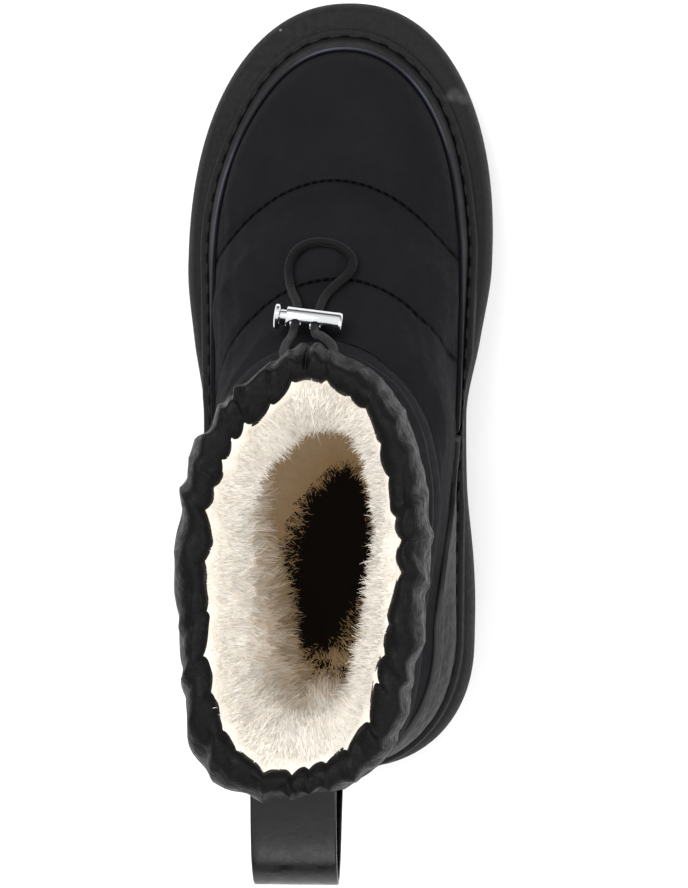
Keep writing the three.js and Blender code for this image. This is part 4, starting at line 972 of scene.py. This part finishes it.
target = np.where(out > 0, edge_radius(OUTER_EDGE, turn), edge_radius(INNER_EDGE, turn))
radius = radius + (target - radius) * np.abs(out)
body = np.sin(np.pi * share) ** 0.6
outside = np.where(share < TOP_SHARE, 1.0, 0.0) * smooth(0.0, 0.1, share)
inside = smooth(0.56, 0.70, share)
radius = radius + (1.5 * gather + 0.45 * crumple + 0.9 * bulge) * body * outside * (1 - inside)
radius = radius + inside * (1.9 * teeth[None, :] - 1.1 + 0.25 * crumple)
# the pinch at the front where the cord comes out, the seam at the back and the two stitched lines round
from_front = np.minimum(where, 1 - where) * GIRTH
pinch = 2.2 * bell(from_front, 1.1) + 0.5 * bell(from_front, 5.0) - 1.0 * bell(from_front - 4.0, 2.4)
radius = radius - pinch[None, :] * smooth(0.02, 0.3, share) * (1 - smooth(0.62, 0.75, share))
seam_back = bell((where - 0.497) * GIRTH, 0.8)[None, :] * 0.8
radius = radius - seam_back * outside
radius = radius + 0.5 * bell(share - 0.30, 0.016) + 0.25 * bell(share - 0.12, 0.02)
casing_points = at_radius(p, radius)
lift = 1.25 * blur(gather, 4) + 0.5 * crumple + 0.7 * bulge - 0.9 * seam_back
lift = lift * bell(share - TOP_SHARE, 0.2) - 0.5 * pinch[None, :] * bell(share - 0.55, 0.2)
casing_points[..., 2] = np.clip(casing_points[..., 2] + lift, CASING_LOWEST, CASING_HIGHEST)
casing = mesh("visual_collar_casing", casing_points, grid_faces(len(profile), CAS_N, True, True))
finish_piece(casing, taffeta(), nodes=["collar_casing"])

# Fur lining
FUR_N = 300
FURS = Surface(np.concatenate([[rise_of(FOOTBED + 6.6)], np.linspace(0.0, 0.985, 98)]), FUR_N)
UP = np.array([0.0, 0.0, 1.0])


def fur_depth(rise, u):
    front = np.cos(2 * np.pi * u)
    side, ahead, behind = (table(FUR["rise"], FUR[column], rise) for column in ("side", "front", "back"))
    share = np.abs(front) ** 3
    return side * (1 - share) + np.where(front > 0, ahead, behind) * share


def fur_painted_light(rise, u):
    """Painted shade of the pile: 1 where it is lit cream, less deep down and on the lower lateral wall, where
    it is shaded tan.
    """
    lateral = np.clip(np.sin(2 * np.pi * (u - 0.05)), 0, 1) ** 0.7
    top = smooth(0.24, 0.64, rise)
    return np.clip((0.08 + 0.92 * top) * (1 - 0.66 * lateral * (1 - smooth(0.50, 0.80, rise))), 0, 1)


# the pile's surface, drawn in under the casing's inner edge near the top
rise_f = np.broadcast_to(FURS.rises[:, None], (len(FURS.rises), FUR_N))
u_f = np.broadcast_to(np.arange(FUR_N) / FUR_N, rise_f.shape)
lump = 1.1 * waves(FURS.p, 15, 31) + 0.7 * waves(FURS.p, 7, 33, 9)
packed = 0.82 - 0.22 * np.abs(np.sin(2 * np.pi * u_f)) * smooth(0.25, 0.45, rise_f)
pile_depth = UPPER_WALL + GAP + fur_depth(rise_f, u_f) * packed + lump
pile_points = FURS.p - FURS.n * pile_depth[..., None]
radius, turn = polar(pile_points)
medial = np.clip(-np.sin(2 * np.pi * u_f), 0, 1)
shoulder = np.interp(rise_f, [0.80, 0.87, 0.92, 0.955, 0.975, 0.985], [9.5, 7.2, 4.8, 2.2, 0.0, -2.6])
shoulder = shoulder * (1 - 0.5 * medial * (rise_f < 0.965)) + 0.5 * lump * (rise_f < 0.97)
edge_here = edge_radius(INNER_EDGE, turn) - shoulder
near_rim = smooth(0.90, 0.97, rise_f)
wanted = np.minimum(radius, edge_here) * (1 - near_rim) + edge_here * near_rim
pile_points = at_radius(pile_points, radius + (wanted - radius) * smooth(0.70, 0.80, rise_f))
# its back, against the upper's inside and tucked into the casing
back_rises = np.concatenate([[0.985, 0.93, 0.86, 0.80, 0.74], np.linspace(0.66, 0.02, 14), [FURS.rises[0]]])
BACK = Surface(back_rises[::-1], FUR_N)
back_points = BACK.p[::-1] - BACK.n[::-1] * (UPPER_WALL + GAP)
radius, turn = polar(back_points)
tucked = np.minimum(radius, edge_radius(INNER_EDGE, turn) + 3.2)
back_points = at_radius(back_points, radius + (tucked - radius) * smooth(0.74, 0.80, back_rises[:, None]))
fur_points = np.concatenate([pile_points, back_points])
# painted shade of the pile, dimmed to 0.84, and an even 0.5 on its back
shade = np.concatenate([fur_painted_light(rise_f, u_f) * 0.84, np.full(back_points.shape[:2], 0.5)])
across = np.roll(pile_points, -1, 1) - np.roll(pile_points, 1, 1)
pile_normals = -unit(np.cross(across, np.gradient(pile_points, axis=0)))
pile = mesh(
    "visual_fur_pile", fur_points, grid_faces(len(fur_points), FUR_N, True, True)[:, ::-1],
    {"depth": shade}, np.concatenate([pile_normals, np.broadcast_to(UP, back_points.shape)]),
)
# cream where lit, tan for the painted shade deep down
shearling = fur_material("shearling", tone(248, 242, 231), tone(160, 130, 88))
finish_piece(pile, shearling, nodes=["fur_lining"])


def strands(name, roots, ways, normals, lights, hairs, seed, length, width, segments):
    """Locks of fine strands: each lock leans its own way and its strands close up at the tip."""
    r = np.random.default_rng(seed)
    count = len(roots)
    total = count * hairs
    t = np.linspace(0, 1, segments + 1)
    length = np.broadcast_to(length, count)
    root = np.repeat(roots, hairs, 0) + r.normal(size=(total, 3)) * 1.3
    way = unit(np.repeat(ways, hairs, 0) + r.normal(size=(total, 3)) * 0.14)
    curl = np.repeat(unit(np.cross(ways, r.normal(size=(count, 3)))), hairs, 0)
    curl = unit(curl + r.normal(size=(total, 3)) * 0.2)
    other = unit(np.cross(way, curl))
    long = np.repeat(length, hairs) * r.uniform(0.65, 1.12, total)
    phase = np.repeat(r.uniform(0, 6.28, count), hairs) + r.normal(size=total) * 0.4
    turns = np.repeat(r.uniform(2.5, 4.8, count), hairs)
    tip = np.repeat(roots + ways * length[:, None] * 0.9, hairs, 0)
    points = []
    for k in t:
        swing = long * 0.09 * k * 1.3
        point = root - way * 1.0 + way * (long * k)[:, None]
        bend = curl * (np.cos(phase + turns * k) * swing)[:, None]
        point = point + bend + other * (np.sin(phase + turns * k) * swing)[:, None]
        close = 0.4 * k * k
        points.append(point * (1 - close) + (tip + (point - tip) * 0.4) * close)
    points = np.array(points)
    flat = unit(np.cross(np.gradient(points, axis=0), unit(r.normal(size=(total, 3)))[None]))
    half = flat * (width * (1 - 0.72 * t**2))[:, None, None] * 0.5
    strip = np.stack([points - half, points + half], 2).transpose(1, 0, 2, 3).reshape(-1, 3)
    first = np.arange(total)[:, None, None] * (segments + 1) * 2 + np.arange(segments)[None, :, None] * 2
    faces = (first + np.array([0, 1, 3, 2])[None, None, :]).reshape(-1, 4)
    # painted shade along each strand: darker at its root, lighter at its tip
    light = (np.repeat(lights, hairs)[:, None] * (0.86 + 0.14 * t)[None, :]).repeat(2, 1)
    root_normals = np.repeat(normals, hairs * (segments + 1) * 2, 0)
    made = mesh(name, strip, faces, {"depth": light, "strand": np.ones(len(strip))}, root_normals)
    finish_piece(made, shearling)


# locks on the shaft's wall: name, locks, lowest and highest rise, strands, seed, length, width, segments
WALL_LOCKS = [
    ("visual_fur_edge", 800, 0.90, 0.966, 13, 55, 4.2, 0.26, 3),
    ("visual_fur_rim", 1400, 0.80, 0.95, 16, 51, 5.6, 0.26, 4),
    ("visual_fur_throat", 1150, 0.58, 0.84, 15, 52, 7.0, 0.28, 4),
    ("visual_fur_middle", 700, 0.32, 0.62, 15, 53, 9.5, 0.36, 3),
    ("visual_fur_low", 430, 0.03, 0.36, 12, 54, 9.0, 0.42, 3),
]
for name, count, lowest, highest, hairs, seed, length, width, segments in WALL_LOCKS:
    r = np.random.default_rng(seed)
    rise, u = r.uniform(lowest, highest, count), r.uniform(0, 1, count)
    p = FURS.sample(pile_points, rise, u)
    n = unit(FURS.sample(pile_normals, rise, u))
    inward = -unit(FURS.sample(FURS.n, rise, u))
    flow = np.stack([waves(p, 30, seed + k) for k in (1, 2, 3)], -1) * 0.42
    top = smooth(0.88, 0.97, rise)[:, None]
    way = inward * (0.7 + 0.5 * top) + n * (0.45 - 0.25 * top) + np.array([0, 0, 0.12])
    way = unit(way + flow * (1 - 0.6 * top) + r.normal(size=(count, 3)) * 0.10)
    ends = np.abs(np.cos(2 * np.pi * u)) ** 3 * smooth(0.08, 0.25, rise) * (1 - smooth(0.5, 0.75, rise))
    rim = (1 - 0.55 * smooth(0.86, 0.98, rise)) * (1 - 0.3 * np.abs(np.sin(2 * np.pi * u)))
    long = length * rim * (1 + 0.7 * ends)
    strands(name, p, way, n, fur_painted_light(rise, u), hairs, seed, long, width, segments)

# pile that leans over the edge of the insole, round the bare heel
BARE_CENTRE, BARE_LONG, BARE_SHORT, BARE_TURN = (-6.8, 31.6), 35.0, 13.5, math.radians(-10)
INSOLE_TOP = FOOTBED + GAP + 6.2
BED_COLUMNS, BED_LOCKS = 180, 700
BED_ROWS = ((-0.5, -0.3), (0.4, 1.4), (2.0, 2.8), (5.0, 3.8), (9.0, 4.4), (14.0, 4.6), (20.0, 4.4))


def round_bare(angle, out):
    """A point this many mm outside the bare oval of the insole."""
    across, ahead = (BARE_SHORT + out) * np.cos(angle), (BARE_LONG + out) * np.sin(angle)
    return np.stack([
        BARE_CENTRE[0] + across * math.cos(BARE_TURN) - ahead * math.sin(BARE_TURN),
        BARE_CENTRE[1] + across * math.sin(BARE_TURN) + ahead * math.cos(BARE_TURN),
    ], -1)


angle = np.arange(BED_COLUMNS) / BED_COLUMNS * 2 * np.pi
bed_rows = []
for out, up in BED_ROWS:
    row = np.column_stack([round_bare(angle, out), np.full(BED_COLUMNS, INSOLE_TOP + up)])
    row[:, 2] += 0.5 * waves(row, 9, 71) * (out > 1)
    bed_rows.append(row)
# painted shade: the pile round the bare heel is nearly black, a little lighter in its outer rows
bed_light = np.broadcast_to(np.linspace(0.02, 0.2, len(BED_ROWS))[:, None], (len(BED_ROWS), BED_COLUMNS))
fur_bed = mesh(
    "visual_fur_bed", bed_rows, grid_faces(len(BED_ROWS), BED_COLUMNS), {"depth": bed_light},
    np.broadcast_to(UP, (len(BED_ROWS), BED_COLUMNS, 3)),
)
finish_piece(fur_bed, shearling)
r = np.random.default_rng(61)
angle, reach = r.uniform(0, 2 * np.pi, BED_LOCKS), r.uniform(0.0, 1.0, BED_LOCKS)
plan = round_bare(angle, 0.8 + 15 * reach)
roots = np.column_stack([plan, INSOLE_TOP + 1.0 + 3.4 * smooth(0, 0.35, reach)])
inwards = np.column_stack([round_bare(angle, 0) - round_bare(angle, 10), np.zeros(BED_LOCKS)])
ways = unit(unit(inwards) * 0.6 + UP + r.normal(size=(BED_LOCKS, 3)) * 0.2)
up_normals = np.broadcast_to(UP, (BED_LOCKS, 3))
# painted shade: the locks darken towards the edge of the bare oval
strands("visual_fur_insole", roots, ways, up_normals, 0.02 + 0.22 * reach, 12, 62, 6.5, 0.36, 3)

# Insole
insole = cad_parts["insole"]
felt = plain("insole_felt", tone(11, 12, 11), 0.95, 900, 0.0006)
insole.data.materials.clear()
insole.data.materials.append(felt)

# Pull loop
LOOP_X, LOOP_W, LOOP_T, LOOP_REACH = -12.2, 28.0, 1.8, 33.2
SEATS = Surface(np.linspace(0.40, 0.82, 120), 80)


def loop_seat(rise):
    """Along and up, where the middle of the strap lies on the boot's back."""
    point = SEATS.sample(SEATS.p, np.array([rise]), np.array([0.5]))[0]
    n_here = SEATS.sample(SEATS.n, np.array([rise]), np.array([0.5]))[0]
    swell_here = float(puff(point[0], point[1], point[2], rise))
    point = point + n_here * (swell_here + 2 * GAP + LOOP_T / 2)
    return [point[1], point[2]]


def wrap_round(line_y, line_z, x_at):
    """How far a row of the strap bends forward at x to lie on the boot, none where it stands clear."""
    turns = np.linspace(0.25, 0.75, 161)
    ring = SEATS.sample(SEATS.p, np.full(161, rise_of(line_z)), turns)
    ring = ring[np.argsort(ring[:, 0])]
    middle = np.interp(LOOP_X, ring[:, 0], ring[:, 1])
    clear = middle - line_y
    return 0.95 * (np.interp(x_at, ring[:, 0], ring[:, 1]) - middle) * (1 - smooth(5.5, 16, clear))


top, low = loop_seat(0.765), loop_seat(0.5)
span = top[1] - low[1]


def reach_to(share, drop):
    return [top[0] - LOOP_REACH * share, top[1] - span * drop]


loop_keys = np.array([
    loop_seat(0.785), loop_seat(0.775), top, reach_to(0.30, 0.02), reach_to(0.75, 0.12), reach_to(1, 0.38),
    reach_to(0.84, 0.64), reach_to(0.38, 0.86), low, loop_seat(0.48), loop_seat(0.455),
])
loop_line = spline_rows(loop_keys, 12)
for _ in range(6):
    loop_line[1:-1] = 0.25 * loop_line[:-2] + 0.5 * loop_line[1:-1] + 0.25 * loop_line[2:]
d_line = np.gradient(loop_line, axis=0)
d_line = d_line / np.linalg.norm(d_line, axis=1, keepdims=True)
# the strap's cross-section with rounded corners, and more points along its wide sides
half_w, half_t, corner = LOOP_W / 2, LOOP_T / 2, 0.6
corners = []
for side_x, side_y, start in ((1, 1, 0), (-1, 1, 90), (-1, -1, 180), (1, -1, 270)):
    for a in (0, 30, 60, 90):
        t = math.radians(start + a)
        x = side_x * (half_w - corner) + corner * math.cos(t)
        corners.append((x, side_y * (half_t - corner) + corner * math.sin(t)))
section = []
for a, b in zip(corners, corners[1:] + corners[:1]):
    steps = 10 if abs(a[0] - b[0]) > 5 else 1
    section += [(a[0] + (b[0] - a[0]) * j / steps, a[1] + (b[1] - a[1]) * j / steps) for j in range(steps)]
section = np.array(section)
loop_points = np.empty((len(loop_line), len(section), 3))
for k, ((line_y, line_z), (step_y, step_z)) in enumerate(zip(loop_line, d_line)):
    # the first and last row have no thickness, which closes the strap's ends
    thick = section[:, 1] * (0 < k < len(loop_line) - 1)
    loop_points[k, :, 0] = LOOP_X + section[:, 0]
    bend = wrap_round(line_y, line_z, LOOP_X + section[:, 0])
    loop_points[k, :, 1] = line_y - step_z * thick + bend
    loop_points[k, :, 2] = line_z + step_y * thick
from_edge = np.broadcast_to(half_w - np.abs(section[:, 0]), loop_points.shape[:2])
loop_faces = grid_faces(len(loop_line), len(section))[:, ::-1]
strap = mesh("visual_pull_loop", loop_points, loop_faces, {"edge": from_edge})
loop_leather = leather("leather_loop", tone(8, 8, 8), tone(12, 12, 12), 0.27, specular=0.32)
finish_piece(strap, loop_leather, nodes=["pull_loop"])

# Drawcord and cord lock
CORD_ROUTE = [
    (-13.2, 98.4, 165.5), (-14.3, 100.8, 160.5), (-15.1, 102.8, 155.2), (-15.4, 104.6, 149.0),
    (-15.2, 106.6, 142.0), (-14.8, 108.2, 134.0), (-14.3, 110.2, 127.8), (-13.9, 113.1, 123.4),
    (-13.6, 115.8, 119.2), (-13.3, 118.5, 115.0), (-14.3, 121.8, 109.0), (-16.6, 126.4, 101.4),
    (-17.9, 131.5, 96.4), (-17.6, 136.4, 94.3), (-15.3, 140.5, 93.7), (-11.0, 142.9, 93.4),
    (-5.9, 143.2, 93.8), (-0.8, 141.8, 94.5), (3.2, 138.8, 95.3), (4.3, 135.2, 96.4),
    (2.4, 131.6, 98.2), (-1.6, 127.8, 102.4), (-5.0, 123.2, 107.6), (-6.6, 117.7, 115.0),
    (-6.9, 115.0, 119.2), (-7.2, 112.3, 123.4), (-6.4, 110.1, 127.8), (-4.6, 109.5, 134.0),
    (-2.2, 108.0, 142.0), (0.2, 105.8, 149.0), (1.2, 103.2, 155.2), (0.7, 101.4, 160.5),
    (-0.2, 98.8, 165.5),
]
CORD_D, CORD_SIDES, BRAID_PITCH = 3.0, 18, 5.2
cord_line = spline_rows(np.array(CORD_ROUTE), 12)
arc = np.concatenate([[0], np.cumsum(np.linalg.norm(np.diff(cord_line, axis=0), axis=1))])
steps = int(arc[-1] / 0.5)
at = np.linspace(0, arc[-1], steps)
cord_line = np.column_stack([np.interp(at, arc, cord_line[:, i]) for i in range(3)])
way = unit(np.gradient(cord_line, axis=0))
sideways = [unit(np.cross(way[0], [1.0, 0, 0]))]
for k in range(1, steps):
    sideways.append(unit(sideways[-1] - way[k] * (sideways[-1] @ way[k])))
sideways = np.array(sideways)
angle = np.arange(CORD_SIDES) / CORD_SIDES * 2 * np.pi
twist = at[:, None] * 2 * np.pi / BRAID_PITCH
braid = np.maximum(np.cos(4 * (angle[None, :] - twist)), np.cos(4 * (angle[None, :] + twist)))
radius = CORD_D / 2 - 0.13 + 0.13 * braid
around = np.cos(angle)[None, :, None] * sideways[:, None]
around = around + np.sin(angle)[None, :, None] * np.cross(way, sideways)[:, None]
cord_points = cord_line[:, None] + radius[..., None] * around
cord_mesh = mesh("visual_drawcord", cord_points, grid_faces(steps, CORD_SIDES))
cord_shader = Shader("cord_elastic", tone(17, 17, 18), 0.7, specular=0.12)
cord_shader.set("Sheen Weight", 0.06)
cord_shader.bump(cord_shader.noise(1800, 3, 0.6), 0.0003, 0.6)
finish_piece(cord_mesh, cord_shader.material, nodes=["drawcord"])

LOCK_CENTRE, LOCK_TURN, LOCK_TILT = (-9.5, 115.3, 119.2), -7.2, 33.0
BAR_D, BAR_L, BAR_BORE, BAR_END = 8.0, 19.0, 6.0, 1.2
PL_D, NECK, HEAD_D, HEAD_T, STROKE = 5.4, 2.0, 9.0, 2.0, 1.8
lock_length = HEAD_T + NECK + BAR_L
mouth = -lock_length / 2 + HEAD_T + NECK
holes = [mouth + 3.4, mouth + 3.4 + 6.7]
hole_r = CORD_D / 2 + 1.5 * GAP
lock_matrix = (
    Matrix.Translation(Vector(LOCK_CENTRE) * 0.001)
    @ Matrix.Rotation(math.radians(LOCK_TURN), 4, "Z")
    @ Matrix.Rotation(math.radians(LOCK_TILT), 4, "X")
)


def lathe(name, keys, sides=72):
    """A turned piece about its own X axis, through (x, radius) pairs, with flat ends."""
    a = np.arange(sides) / sides * 2 * np.pi
    points = [[(x, r * math.cos(t), r * math.sin(t)) for t in a] for x, r in keys]
    first, last = list(range(sides)), list(range((len(keys) - 1) * sides, len(keys) * sides))
    return mesh(name, points, grid_faces(len(keys), sides).tolist() + [first[::-1], last])


def cut(obj, cutters):
    for tool in cutters:
        modifier = obj.modifiers.new("cut", "BOOLEAN")
        modifier.operation = "DIFFERENCE"
        modifier.solver = "EXACT"
        modifier.object = tool
    dg = bpy.context.evaluated_depsgraph_get()
    data = bpy.data.meshes.new_from_object(obj.evaluated_get(dg))
    obj.modifiers.clear()
    obj.data = data
    for tool in cutters:
        bpy.data.objects.remove(tool)


def cross_hole(low, high, radius, sides=24):
    """A cutter across the lock, as long as the way from low to high along its axis."""
    ring = []
    for t in np.arange(sides) / sides * 2 * np.pi:
        ring.append((radius * math.cos(t) + (high if math.cos(t) > 0 else low), radius * math.sin(t)))
    points = [(x, y, z) for z in (-12, 12) for x, y in ring]
    faces = [[k, (k + 1) % sides, sides + (k + 1) % sides, sides + k] for k in range(sides)]
    ends = [list(range(sides))[::-1], list(range(sides, 2 * sides))]
    return mesh("hole", points, faces + ends)


def soften(obj, width_mm):
    modifier = obj.modifiers.new("edge", "BEVEL")
    modifier.width = width_mm * 0.001
    modifier.segments = 3
    modifier.limit_method = "ANGLE"
    modifier.angle_limit = math.radians(35)
    modifier.harden_normals = True


r = BAR_D / 2
end = mouth + BAR_L
barrel = lathe("visual_cord_lock_barrel", [
    (end, 0.4), (end, r - 1.2), (end - 0.12, r - 0.6), (end - 0.45, r - 0.22), (end - 1.2, r),
    (mouth + 0.4, r), (mouth + 0.12, r - 0.12), (mouth, r - 0.35), (mouth, BAR_BORE / 2),
    (end - BAR_END, BAR_BORE / 2), (end - BAR_END, 0.4),
])
cut(barrel, [cross_hole(h - 0.05, h + 0.05, hole_r) for h in holes])
soften(barrel, 0.18)
head, r = -lock_length / 2, HEAD_D / 2
back, stop = head + HEAD_T, holes[1] + hole_r + 1.2
plunger = lathe("visual_cord_lock_plunger", [
    (head, 0.4), (head, r - 0.9), (head + 0.15, r - 0.35), (head + 0.55, r), (back - 0.5, r),
    (back - 0.12, r - 0.35), (back, r - 0.8), (back, PL_D / 2), (stop, PL_D / 2), (stop, 0.4),
])
cut(plunger, [cross_hole(h - STROKE, h, hole_r) for h in holes])
soften(plunger, 0.15)
chrome = Shader("chrome_polished", tone(206, 207, 210), 0.10, 1.0)
chrome.roughness(chrome.ramp(chrome.noise(500, 3, 0.6), 0.3, 0.7, 0.06, 0.16))
for piece, node, body in ((barrel, "cord_lock_barrel", "boot"), (plunger, "cord_lock_plunger", "plunger")):
    piece.matrix_world = lock_matrix
    for polygon in piece.data.polygons:
        polygon.use_smooth = True
    finish_piece(piece, chrome.material, body, [node])

# Floor, light and camera
floor_corners = [(-3000, -3000, 0), (3000, -3000, 0), (3000, 3000, 0), (-3000, 3000, 0)]
floor = mesh("floor", floor_corners, [[0, 1, 2, 3]])
paper = Shader("floor_paper", (0.68, 0.68, 0.68), 0.9, specular=0.05)
paper.set("Emission Color", (1, 1, 1, 1))
paper.set("Emission Strength", 0.3)
floor.data.materials.append(paper.material)

world = bpy.data.worlds.new("studio")
bpy.context.scene.world = world
world.use_nodes = True
background = world.node_tree.nodes["Background"]
background.inputs["Color"].default_value = (1, 1, 1, 1)
sky = world.node_tree.nodes.new("ShaderNodeTexCoord")
parts = world.node_tree.nodes.new("ShaderNodeSeparateXYZ")
fade = world.node_tree.nodes.new("ShaderNodeMapRange")
fade.interpolation_type = "SMOOTHSTEP"
for socket, value in (("From Min", 0.05), ("From Max", 0.75), ("To Min", 0.06), ("To Max", 1.3)):
    fade.inputs[socket].default_value = value
world.node_tree.links.new(sky.outputs["Generated"], parts.inputs[0])
world.node_tree.links.new(parts.outputs[2], fade.inputs["Value"])
world.node_tree.links.new(fade.outputs["Result"], background.inputs["Strength"])

# square lights: place, what it points at, size, power
LIGHTS = [
    ("key", (-0.55, 0.75, 1.35), (0, 0.07, 0.05), 0.8, 15),
    ("fill", (0.9, 0.0, 0.9), (0, 0.07, 0.05), 0.7, 4.5),
    ("back", (0.1, -0.9, 0.8), (0, 0.05, 0.08), 0.6, 3),
]
for name, place, target, size, power in LIGHTS:
    data = bpy.data.lights.new(name, "AREA")
    data.size, data.energy = size, power
    lamp = link(name, data)
    lamp.location = place
    lamp.rotation_euler = (Vector(target) - Vector(place)).to_track_quat("-Z", "Y").to_euler()

camera_data = bpy.data.cameras.new("camera")
camera_data.sensor_fit = "VERTICAL"
camera_data.sensor_height = 36.0
camera_data.lens = 123.4
camera = link("camera", camera_data)
camera.location = (0.0595, 0.0736, 1.140)
camera.rotation_euler = (0, math.radians(3.2), 0)
bpy.context.scene.camera = camera
bpy.context.scene.view_settings.view_transform = "Standard"
